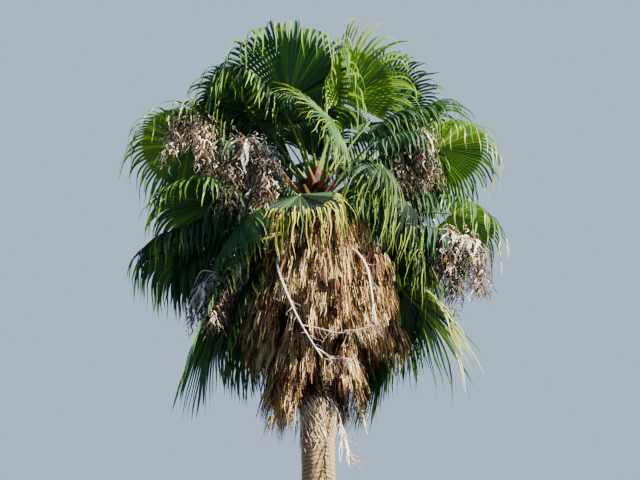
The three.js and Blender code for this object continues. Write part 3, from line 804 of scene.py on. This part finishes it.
deadStemLook = {**petioleLook, "rows": 6, "sides": 5, "costa": 0}
thatchPaints = dryPaints({
    "creamThatch": "#f0da9e", "paleThatch": "#dfc07c", "goldenThatch": "#bd9250", "tanThatch": "#85593a",
    "brownThatch": "#4f2c25", "umberThatch": "#221310",
}, through=0.05)
# Dead fans lie under the strands and locks in darker tints: partly the old fronds' own brown, partly painted
# shade in the gaps between the locks.
thatchTints = {"fan": 4.1, "strands": 2.2, "drift": 1.8, "mix": 3.6, "last": 5}


def nearestTint(values):
    return np.clip(np.round(values), 0, thatchTints["last"]).astype(int)


# Paint numbers of what dead fronds are made of: each near one tint, its segments up to two steps either side
def thatchPaint(middle):
    def paint(chance, rows):
        own = middle + thatchTints["drift"] * chance(0.9)[1]
        return nearestTint(own + thatchTints["mix"] * (chance(0.53) - 0.5))[:, None]

    return paint


fanThatch, strandThatch = thatchPaint(thatchTints["fan"]), thatchPaint(thatchTints["strands"])
thatchLook = {
    "strands": 66, "rows": 7, "halfWidths": (0.00252, 0.0063), "narrowing": 0.75, "lengths": (0.35, 0.85),
    "starts": (0.1, 0.45), "wider": 1.15, "limp": (0.5, 2.1), "sag": 1.3, "united": 0.3, "twist": 1.5,
    "shake": 0.016, "lift": 0.03,
}


# Split strands of a dead frond: flat ribbons at random angles of its blade, hanging from a random share of it
def thatchStrands(blade, look, seed):
    draw = drawer(seed, look["strands"])
    chance = lambda key: draw(key)[:, None]
    angles = blade["spread"] * look["wider"] * (2 * draw(0.21) - 1)
    share = within(look["lengths"], draw(0.23) ** 0.6)
    limp = blade["limp"] * within(look["limp"], draw(0.25))
    lines = bladeLines({**blade, "sag": blade["sag"] * look["sag"]}, angles, look["united"], limp, share)
    first = within(look["starts"], chance(0.27))
    t = np.linspace(0, 1, look["rows"])
    point, sideways, course = sampleLines(lines, first + (1 - first) * t)
    normal = unit(np.cross(course, sideways))
    turn = (6.3 * chance(0.29) + look["twist"] * t)[..., None]
    width = within(look["halfWidths"], chance(0.31)) * (1 - look["narrowing"] * t ** 2)
    shake = look["shake"] * t * np.sin(8 * t + 6.3 * chance(0.33))
    lift = look["lift"] * (chance(0.35) - 0.3)
    point = point + sideways * shake[..., None] + normal * lift[..., None]
    across = (sideways * np.cos(turn) + normal * np.sin(turn)) * width[..., None]
    return ribbons(point, -across, strandThatch(draw, look["rows"]))


# Locks of short strands lie over a dead frond, each lock in one tint. From a point of the blade they leave
# downwards and a little outwards, and hang as the twigs do.
lockLook = {
    "locks": 20, "strands": 13, "rows": 5, "halfWidths": (0.00216, 0.00504), "narrowing": 0.7,
    "lockLengths": (0.16, 0.46), "lengths": (0.35, 1.0), "last": 0.8, "lockWidth": 0.085, "united": 0.3,
    "outwards": (0.15, 0.65), "sideways": 0.45, "droop": 0.3, "wave": 0.04,
    # Darker strands in a lock are painted shade, the dark gaps between lit strands.
    "tints": 3.8, "darker": 3.4, "paintedShadeShare": 0.38,  # some strands are darker by so many tints
}


def thatchLocks(blade, look, seed):
    draw = drawer(seed, look["locks"])
    lines = bladeLines(blade, blade["spread"] * (2 * draw(0.41) - 1), look["united"], blade["limp"])
    roots = sampleLines(lines, look["last"] * draw(0.43)[:, None])[0][:, 0]
    size = within(look["lockLengths"], draw(0.45))
    tint = look["tints"] * draw(0.46) ** 2
    roots, size, tint = (np.repeat(values, look["strands"], 0) for values in (roots, size, tint))
    draw = drawer(seed, len(roots))
    chance = lambda key: draw(key)[:, None]
    level = unit((roots - axisAt(roots[:, 2])) * (1 - up))
    beside = np.cross(level, up)
    start = roots + look["lockWidth"] * (beside * (chance(0.47) - 0.5) + level * 0.7 * chance(0.48))
    aside = beside * (look["sideways"] * (chance(0.5) - 0.5))
    course = unit(level * within(look["outwards"], chance(0.49)) + aside - up)
    lines = hangingLines(start, course, draw(0.51), look, seed + 0.52, size)
    turn = 6.3 * chance(0.54)
    t = np.linspace(0, 1, look["rows"])
    width = within(look["halfWidths"], chance(0.55)) * (1 - look["narrowing"] * t ** 2)
    across = (beside * np.cos(turn) + level * np.sin(turn))[:, None] * width[..., None]
    # A share of the strands are darker by so many tints: painted shade between the lit ones.
    dark = draw(0.57) > 1 - look["paintedShadeShare"]
    shade = nearestTint(tint + 1.6 * (draw(0.56) - 0.35) + look["darker"] * dark)
    return ribbons(lines, -across, shade[:, None])


# An extra frond hangs between two of the source's, nearer to the trunk, higher or lower, shorter and narrower
def extraFrond(spec, seed, extra):
    scatter = extraScatter
    share = extra / (spec["extra"] + 1) + scatter["bearing"] * (seeded(seed, extra) - 0.5)
    grown = {
        **spec,
        "bearing": spec["bearing"] + 360 / spec["count"] * share,
        "hubOut": spec["hubOut"] - scatter["hubOut"] * seeded(seed, extra + 40),
        "hubDrop": spec["hubDrop"] + scatter["hubDrop"] * (seeded(seed, extra + 50) - 0.55),
        "blade": spec["blade"] * (scatter["longest"] - scatter["blade"] * seeded(seed, extra + 60)),
        "spread": spec["spread"] - scatter["spread"] * seeded(seed, extra + 70),
    }
    for change in spec["changes"]:
        if abs(grown["bearing"] % 360 - change["bearing"]) < change["halfWidth"]:
            grown["blade"] *= change["trim"]
            grown["hubOut"] += change["out"]
            grown["hubDrop"] += change["drop"]
    return grown


def addSkirt(t, tier):
    parts, names, locks = [], [], []
    for k in range(tier["count"]):
        seed = 60 + t * 10 + k
        spec = {**tier, **skirtCommon, "bearing": tier["first"] + 360 / tier["count"] * k}
        for n, (key, reach) in enumerate(skirtScatter.items()):
            spec[key] += reach * (seeded(seed, n + 20) - 0.5)
        names.append(f"skirt_{t + 1}_{k + 1}")
        for extra in range(tier["extra"] + 1):
            grown = extraFrond(spec, seed, extra) if extra else spec
            end = axisAt(palm["heart"] - grown["hubDrop"]) + towards(grown["bearing"], 0) * grown["hubOut"]
            node = "" if extra else names[-1]
            stem = seatStem(node, grown, end, palm["heart"] - tier["footDrop"], stemShapes["dead"])
            blade = {**grown, **bladeStand(stem, grown)}
            blade["spread"] *= dryLook["closing"]
            own = seed + 0.11 * extra
            parts.append(fanBlade(blade, dryLook, own, fanThatch))
            parts.append(thatchStrands(blade, thatchLook, own))
            parts.append(petiolePart(stem, blade, stemShapes["dead"], deadStemLook, petioleTints["dark"]))
            locks.append(thatchLocks(blade, lockLook, own))
    makePiece(f"deadSkirt_{t + 1}", parts, thatchPaints, names)
    makePiece(f"skirtLocks_{t + 1}", locks, thatchPaints)


print("dead skirt")
for t, tier in enumerate(skirtTiers):
    addSkirt(t, tier)

# Dried fruit stalks. branches counts what hangs from a stalk, bunch is how long that is, lean brings it
# forwards, and shades are the paints of its husk flakes.
fruitStems = [
    # The first bunch's flakes take the lighter paints, the tawny one among them: painted sunlight on a bunch
    # that hangs in shade.
    sprout(191, 28, reach=1.74, arch=20, bunch=1.0, branches=8, lean=0.45, shades=(3, 6, 3, 6, 4, 6)),
    sprout(226, 12, reach=1.15, arch=26, bunch=1.05, branches=8),
    sprout(-24, 21, reach=1.36, arch=22, bunch=0.78, branches=8),
    sprout(-14, -25, reach=1.88, arch=36, bunch=0.98, branches=8, shades=(2, 4, 3, 2, 1, 2)),
    sprout(201, -47, reach=1.85, arch=44, bunch=0.7, branches=7),
]
# In each group: half widths at the start and the end, or of a flat one with the angles of its sine
fruitLook = {
    "footDrop": 0.06, "rows": 20, "sides": 7, "thickness": 0.8, "shades": (3, 4, 0, 5, 4, 5),
    "branch": dict(rows=12, sides=5, half=(0.007, 0.002), at=(0.66, 0.98), lengths=(0.63, 0.9), turn=140,
                   loose=30, out=0.3),
    "twig": dict(count=58, rows=6, sides=3, half=(0.0034, 0.0014), lengths=(0.12, 0.312), rise=(-35, 25),
                 droop=0.55, wave=0.09),
    "berry": dict(share=0.3, height=1.1, radii=(0.0045, 0.00975)),
    "flake": dict(count=120, rows=5, flat=(0.0068, 0.5, 2.9), lengths=(0.0425, 0.1275), rise=(-60, 50),
                   droop=0.9, wave=0.3, out=(0.02, 0.15)),
    "bleached": dict(count=32, rows=10, sides=5, half=(0.0065, 0.002), lengths=(0.18, 0.48), rise=(-50, 30),
                     droop=0.6, wave=0.16, at=(0.55, 1.0)),
    "bract": dict(rows=8, flat=(0.02, 0.4, 3.0), lengths=(0.168, 0.392), rise=(-70, 10), droop=0.9, wave=0.12,
                   fold=0.3),
}
# The last husk colour, a light tawny, is painted sunlight for the first bunch.
fruitPaints = dryPaints({
    "fruitTwig": "#66533f", "fruitStalkBark": "#9a6a35", "driedBerry": "#33261d", "bleachedBract": "#e8dfc8",
    "huskFlake": "#8a7259", "greyHusk": "#857d73", "paintedSunHusk": "#cfae82",
})
fruitTints = {"bark": 1, "berry": 2, "bleached": 3}


# Small octahedra for dried fruit
def berries(centres, radius, look):
    turn = np.arange(4) * np.pi / 2
    ring = np.stack([np.cos(turn), np.sin(turn), np.zeros(4)], -1)
    points = centres[:, None, None] + radius[:, None, None, None] * ring
    lift = radius[:, None] * up * look["height"]
    return weave(points, True, centres - lift, centres + lift, fruitTints["berry"])


def spreadOut(seed, count, rises):
    chance = drawer(seed, count)
    return towards(360 * chance(0), within(rises, chance(0.31)))


def leafSide(out):
    return unit(np.cross(out, [0.2, 0.1, 1.0]))[:, None]


# Twigs, berries and husk flakes of one hanging branch
def fruitBranch(branch, own, shades):
    twig, berry, flake = (fruitLook[key] for key in ("twig", "berry", "flake"))
    chance = drawer(own, twig["count"])
    place = 0.04 + 0.96 * chance(0)
    last = len(branch) - 1
    row = np.minimum((place * last).astype(int), last - 1)
    mix = (place * last - row)[:, None]
    roots = branch[row] * (1 - mix) + branch[row + 1] * mix
    out = spreadOut(own + 0.3, twig["count"], twig["rise"])
    lines = hangingLines(roots, out, chance(0.17), twig, own, 1.15 - 0.5 * place)
    twigs = twigTubes(lines, twig, (0.6, 0.8, 0.0))
    fruit = lines[:, 2:6].reshape(-1, 3)
    fruit = fruit[drawer(own, len(fruit))(0.77) < berry["share"]]
    small = berries(fruit, within(berry["radii"], drawer(own, len(fruit))(0.7)), berry)
    chance = drawer(own, flake["count"])
    out = spreadOut(own + 0.87, flake["count"], flake["rise"])
    roots = branch[(chance(0.83) * 10).astype(int)] + out * within(flake["out"], chance(0.93))[:, None]
    lines = hangingLines(roots, out, chance(0.89), flake, own + 0.2)
    shade = np.array(shades)[(chance(0.91) * 5.99).astype(int)]
    return twigs, small, ribbons(lines, leafAcross(leafSide(out), flake), shade[:, None])


# Its branches leave the outer third of the stalk and hang: start + 0.3 length sqrt(s) outwards - length * s up
def fruitStalk(n, spec):
    look, seed, name = fruitLook, n + 1, f"fruit_stalk_{n + 1}"
    footZ = footHeight(spec["rise"]) - look["footDrop"]
    stem = seatStem(name, spec, farEnd(spec), footZ, stemShapes["fruit"])
    thick, thin, flatness = stemShapes["fruit"][:3]
    t = np.linspace(0, 1, look["rows"])
    half = stemHalf(thick - thin / 2, thin / 2, t) * look["thickness"]
    stalks = [tubes(stemLine(stem, t)[None], half, flatness, look["sides"], paint=fruitTints["bark"])]
    hung, each = [], look["branch"]
    s = np.linspace(0, 1, each["rows"])[:, None]
    for k in range(spec["branches"]):
        start = stemLine(stem, within(each["at"], k / (spec["branches"] - 1)))
        bearing = spec["bearing"] + each["turn"] * k + each["loose"] * seeded(seed, k)
        length = spec["bunch"] * within(each["lengths"], seeded(seed + 9, k))
        branch = start + towards(bearing, 10) * each["out"] * length * np.sqrt(s) - up * length * s
        branch = branch - np.array([0, spec.get("lean", 0.0), 0]) * np.sqrt(s)
        stalks.append(twigTubes(branch[None], each, (0.3, 1.0, 0.0)))
        hung.append(fruitBranch(branch, seed * 10 + k + 0.5, spec.get("shades", look["shades"])))
    pale, bract = look["bleached"], look["bract"]
    chance = drawer(seed, pale["count"])
    roots = stemLine(stem, within(pale["at"], chance(0.41)))
    out = spreadOut(seed + 0.45, pale["count"], pale["rise"])
    lines = hangingLines(roots, out, chance(0.43), pale, seed + 0.47)
    stalks.append(twigTubes(lines, pale, (0.6, 0.8, 0.0), fruitTints["bleached"]))
    out = spreadOut(seed + 0.51, pale["count"], bract["rise"])
    lines = hangingLines(roots, out, chance(0.49), bract, seed + 0.53)
    across = leafAcross(leafSide(out), bract)
    middle = lines - bract["fold"] * across[:, :, [2, 0, 1]]
    stalks.append(weave(np.stack([lines - across, middle, lines + across], 2), paint=fruitTints["bleached"]))
    makePiece(f"fruitStalk_{seed}", stalks, fruitPaints, [name])
    return hung


print("fruit stalks")
branches = [branch for n, spec in enumerate(fruitStems) for branch in fruitStalk(n, spec)]
for title, parts in zip(("fruitTwigs", "driedBerries", "huskFlakes"), zip(*branches)):
    makePiece(title, parts, fruitPaints)

# Bare stalks. Each fork: its bearing beside the stalk's, its rise and its length.
bareStems = [
    sprout(272, -64, swing=-50, reach=2.64, arch=56, footDrop=0.7, proud=0.06,
           forks=[(80, -6, 0.66), (70, -24, 0.42)]),
    sprout(302, -61, reach=2.22, arch=50, footDrop=0.62, proud=0.04, forks=[(-30, -78, 0.33)]),
    sprout(-42, -82, reach=3.06, arch=20, footDrop=2.05, thin=0.45, forks=[(40, -72, 0.24)], strips=8),
]
bareLook = {
    "rows": 24, "sides": 7, "power": 1.3, "thickness": 0.9, "bow": 0.016, "twigsFrom": 14,
    "fork": dict(rows=12, sides=6, flatness=0.8, half=(0.009, 0.003), at=0.86, step=0.1, arch=-18, bow=0.02),
    "twig": dict(count=26, rows=9, sides=4, half=(0.0045, 0.0014), lengths=(0.104, 0.312), rise=(10, -60),
                 droop=0.35, wave=0.2),
    "strip": dict(rows=8, flat=(0.0042, 0.6, 2.9), lengths=(0.21, 0.42), rise=-62, droop=0.5, wave=0.05),
}
barePaints = dryPaints({
    "bleachedWood": "#d6ccb8", "bleachedTwig": "#c4a888", "pinkTwig": "#ad8b76", "bleachedStrip": "#e4dac2",
})


def bareStalk(n, spec):
    look, name = bareLook, f"bare_stalk_{n + 1}"
    stem = seatStem(name, spec, farEnd(spec), palm["heart"] - spec["footDrop"], stemShapes["bare"])
    thick, thin, flatness = stemShapes["bare"][:3]
    t = np.linspace(0, 1, look["rows"])
    line = stemLine(stem, t)
    line[:, 0] += look["bow"] * np.sin(11 * t + n) * np.sin(np.pi * t)
    line += towards(spec["bearing"], 0) * spec.get("proud", 0.0) * np.sin(np.pi * t)[:, None]
    half = stemHalf(thick, thin, t, look["power"]) * spec.get("thin", look["thickness"])
    parts = [tubes(line[None], half, flatness, look["sides"])]
    roots, each = [line[look["twigsFrom"]:]], look["fork"]
    s = np.linspace(0, 1, each["rows"])
    for k, (turn, rise, length) in enumerate(spec["forks"]):
        start = stemLine(stem, each["at"] + each["step"] * k)
        bearing = spec["bearing"] + turn
        tip = start + towards(bearing, rise) * length
        fork = bezier(start, kneeOf(start, tip, bearing, rise, each["arch"]), tip, s)
        fork[:, 2] += each["bow"] * np.sin(8 * s + k) * np.sin(np.pi * s)
        parts.append(twigTubes(fork[None], each))
        roots.append(fork[3:])
    roots, twig = np.concatenate(roots), look["twig"]
    chance = drawer(n, twig["count"] * len(spec["forks"]))
    pick = (chance(0.4) * len(roots)).astype(int)
    aside = np.where(chance(0.62) > 0.3, 70, -90) + 100 * (chance(0.5) - 0.5)
    out = towards(spec["bearing"] + aside, within(twig["rise"], chance(0.6)))
    lines = hangingLines(roots[pick], out, chance(0.7), twig, n + 0.8)
    tint = 1 + (chance(0.9) > 0.6)
    parts.append(twigTubes(lines, twig, (0.0, 1.0, 0.3), tint[:, None]))
    if "strips" in spec:
        strip, chance = look["strip"], drawer(n, spec["strips"])
        out = towards(spec["bearing"] + 120 * (chance(0.15) - 0.5), strip["rise"])
        roots = line[look["twigsFrom"] + np.arange(spec["strips"])]
        lines = hangingLines(roots, out, chance(0.25), strip, n + 0.35)
        parts.append(ribbons(lines, leafAcross(np.array([0.95, 0.3, 0.0]), strip), 3))
    makePiece(f"bareStalk_{n + 1}", parts, barePaints, [name])


print("bare stalks")
for n, spec in enumerate(bareStems):
    bareStalk(n, spec)

# Bark: rings of old leaf scars, each a small step in the radius that wanders round the trunk, over lumps
# and upright cracks. Rows follow the rings, so the step stays sharp.
barkLook = {
    "columns": 60, "top": 0.3, "rowPhases": (0.0, 0.18, 0.5, 0.82),
    "rings": (0.036, 0.044), "ringsWiden": 7,  # height of a ring at the ground, and from that height up
    "plainFoot": 0.4, "plainTop": 0.3, "wander": (0.007, 0.005, 0.002), "step": 0.0056, "stepPower": 2.2,
    "lumps": (0.004, 0.002), "crackDepth": 0.007, "cracksEnd": 5.5,
    "domeRise": (-0.18, -0.13, -0.08, -0.03, 0.005), "domeShare": (0.93, 0.86, 0.74, 0.58, 0.4),
    "domeWider": 0.004, "brown": "#5f4228", "tan": "#c7a36a", "grey": "#7d6a54", "dark": "#3d2c1f",
    "blotch": (5.0, 5.0, 0.6), "speck": (42.0, 4.0, 0.65), "stretched": (1.0, 4.0, 0.6),
    "fibres": (60.0, 60.0, 7.0), "bands": (2.2, 2.2, 9.0), "bump": 0.8, "depth": 0.006, "shine": 0.2,
}


# uv's second value counts the rings, so its fraction is the place within a ring
def barkPaint(look):
    paint = Paint("ringedBark")
    place = paint.place()
    ring = paint.node("SeparateXYZ", {}, {"Vector": paint.uv()}, 1)
    edge = paint.node("Math", {"operation": "FRACT"}, {0: ring})
    blotch = paint.noise(place, *look["blotch"])
    fibre = paint.noise(paint.stretch(place, look["fibres"]), *look["stretched"])
    speck = paint.noise(place, *look["speck"])
    bands = paint.noise(paint.stretch(place, look["bands"]), *look["stretched"])
    tan = paint.mix(blotch * 0.6 + bands * 0.5, tone(look["brown"]), tone(look["tan"]))
    grey = paint.mix(fibre * 0.6, tan, tone(look["grey"]))
    dark = (1 - edge) ** look["stepPower"] * (speck + blotch + bands - 0.6)
    colour = paint.mix(dark, grey, tone(look["dark"]))
    height = fibre * 0.5 + speck * 0.4 - dark * 0.6
    rough = 0.75 + speck * 0.25
    return paint.finish(paint.skin(colour, rough, height, look["bump"], look["depth"], look["shine"]))


# r = trunk + step * (1 - place in the ring)^stepPower + lumps - crack, a being the angle and p the ring count
def barkPart(look):
    top = palm["heart"] - look["top"]
    levels = np.linspace(0, top, 2000)
    gaps = within(look["rings"], np.clip(levels / look["ringsWiden"], 0, 1))
    counted = np.concatenate([[0], np.cumsum(np.diff(levels) / gaps[1:])])
    rings = int(counted[-1])
    phase = (np.arange(rings)[:, None] + np.array(look["rowPhases"])).ravel()
    turn = 2 * np.pi * np.arange(look["columns"]) / look["columns"]
    a, p = np.meshgrid(turn, phase)
    height = np.repeat(np.interp(phase, counted, levels)[:, None], len(turn), 1)
    fade = np.clip(height / look["plainFoot"], 0, 1) * np.clip((top - height) / look["plainTop"], 0, 1)
    slow, middling, quick = look["wander"]
    wander = slow * np.sin(a + 0.31 * p) + middling * np.sin(2 * a - 0.5 * p + 1)
    height = height + (wander + quick * np.sin(7 * a + 0.9 * p)) * fade
    whole = np.floor(p)
    step = look["step"] * (1 - (p - whole)) ** look["stepPower"] * (0.6 + 0.4 * np.sin(3 * a + 1.7 * whole))
    broad, fine = look["lumps"]
    lumps = broad * np.sin(3 * a + 0.13 * p) * np.sin(0.21 * p + 2) + fine * np.sin(9 * a - 0.7 * p)
    groove = np.maximum(0, np.sin(11 * a + 1.4 * np.sin(0.11 * p) + 2.2 * np.sin(0.037 * p))) ** 10
    crack = look["crackDepth"] * groove * np.clip(1 - height / look["cracksEnd"], 0, 1)
    body = roundTrunk(radiusAt(height) + (step + lumps - crack) * fade, a, height)
    rise, share = (np.array(look[key])[:, None] + 0 * turn for key in ("domeRise", "domeShare"))
    dome = roundTrunk((palm["shaft"] + look["domeWider"]) * share, turn + 0 * share, palm["heart"] + rise)
    part = weave(np.concatenate([body, dome])[None], True, axisAt(0.0), axisAt(palm["heart"] + 0.01))
    last = rings + len(dome)
    part["uv"][:, 1] = np.concatenate([p.ravel(), np.repeat(np.arange(rings, last), len(turn)), [0, last]])
    return part


print("bark")
makePiece("bark", [barkPart(barkLook)], [barkPaint(barkLook)], ["trunk"])

# Old sheath: straw strips of fallen leaf bases that still clasp the trunk under the skirt. Where they climb
# into the hollow under the skirt they take the darkest tint, painted shade.
sheathLook = {
    "strips": 1050, "rows": 9, "columns": 4, "heights": (8.6, 9.95), "wander": 0.14, "ragged": 0.1,
    "lengths": (0.18, 0.39), "halfWidths": (0.0019, 0.0057), "slants": (8.4, 36.4), "crossing": 0.05,
    "clear": (0.005, 0.016), "lift": 0.018, "cup": 0.003, "dark": (8.98, 9.12), "tints": 2.6, "paintedShadeTint": 3,
}
sheathPaints = dryPaints({
    "sheathPale": "#ebdfba", "sheathTan": "#c0a87a", "sheathBrown": "#60472f", "sheathPaintedShade": "#2a1d17",
})


# Each strip climbs along a slanting line on the trunk, s being the share of it, lifted off by lift (1 - s)^6
def sheathPart(look):
    number = np.arange(look["strips"])[:, None, None]
    draw = drawer(4, look["strips"])
    chance = lambda key: draw(key)[:, None, None]
    s = np.linspace(0, 1, look["rows"])[None, :, None]
    w = np.linspace(-1, 1, look["columns"])
    low = within(look["heights"], (number + chance(0.1)) / look["strips"])
    low = low + look["wander"] * np.sin(2 * np.pi * chance(0.2) + 0.6) + look["ragged"] * chance(0.15)
    side = np.where(chance(0.4) > look["crossing"], 1, -1)
    slant = np.radians(within(look["slants"], chance(0.3)) * side)
    climb = within(look["lengths"], chance(0.5)) * s
    width = within(look["halfWidths"], chance(0.6)) * np.sin(np.pi * (0.1 + 0.86 * s)) ** 0.7
    z = low + climb * np.cos(slant) + w * width * np.sin(slant)
    radius = radiusAt(z) + within(look["clear"], chance(0.7)) + look["cup"] * (1 - w ** 2)
    radius = radius + look["lift"] * (1 - s) ** 6 * chance(0.8)
    angle = 2 * np.pi * chance(0.2) - (climb * np.sin(slant) - w * width * np.cos(slant)) / radius
    shade = (draw(0.9) * look["tints"]).astype(int)[:, None]
    # Rows above the dark heights take the darkest tint: painted shade in the hollow under the skirt.
    shaded = z[:, :, 1] > within(look["dark"], draw(0.95)[:, None])
    return weave(roundTrunk(radius, angle, z), paint=np.where(shaded, look["paintedShadeTint"], shade))


print("old sheath")
makePiece("oldSheath", [sheathPart(sheathLook)], sheathPaints)

# Light: a high key from the upper right front, as the photograph's, a weak soft fill for the far side, and an
# even surround. What the camera sees behind the palm has its own colour.
lightPlan = {
    "key": {"bearing": -26.0, "rise": 34.0, "power": 33.0, "softness": 1.2, "colour": (1.0, 0.94, 0.82)},
    "fill": {"bearing": 108.0, "rise": 30.0, "power": 3.0, "softness": 50.0, "colour": (0.86, 0.94, 1.0)},
    "surround": (0.28, 0.51, 1.0, 1.0), "surroundPower": 0.74, "backdrop": (0.5, 0.66, 0.86, 1.0),
}
floorPlan = {
    "radius": 60.0, "corners": 64, "grain": 3.0, "rough": 0.9, "pale": (0.62, 0.62, 0.6, 1.0),
    "paler": (0.68, 0.68, 0.66, 1.0),
    "thrown": (0.04, 0.055, 0.08, 1.0),  # what it throws back at the palm is held down
}


def placeLight(plan):
    for name in ("key", "fill"):
        lamp = plan[name]
        data = bpy.data.lights.new(name, "SUN")
        data.energy = lamp["power"]
        data.angle = math.radians(lamp["softness"])
        data.color = lamp["colour"]
        lookAlong(addObject(name, data), -towards(lamp["bearing"], lamp["rise"]))
    sky = Paint("surround", bpy.data.worlds)
    scene.world = sky.owner
    fill = sky.node("Background", {}, {"Color": plan["surround"], "Strength": plan["surroundPower"]})
    seen = sky.node("Background", {}, {"Color": plan["backdrop"]})
    mixed = sky.node("MixShader", {}, {0: sky.node("LightPath"), 1: fill, 2: seen})
    sky.node("OutputWorld", {}, {"Surface": mixed})


# A flat disc at the ground: radius * (cos, sin)
def placeFloor(plan):
    turn = np.linspace(0, 2 * np.pi, plan["corners"], endpoint=False)
    rim = plan["radius"] * np.stack([np.cos(turn), np.sin(turn), 0 * turn], -1)
    mesh = bpy.data.meshes.new("floor")
    mesh.from_pydata(rim.tolist(), [], [tuple(range(len(turn)))])
    paint = Paint("paleFloor")
    pale = paint.mix(paint.noise(paint.place(), plan["grain"]), plan["pale"], plan["paler"])
    colour = paint.mix(paint.node("LightPath"), plan["thrown"], pale)
    shader = paint.node("BsdfPrincipled", {}, {"Base Color": colour, "Roughness": plan["rough"]})
    mesh.materials.append(paint.finish(shader))
    addObject("floor", mesh)


placeLight(lightPlan)
placeFloor(floorPlan)
print("light and floor placed")
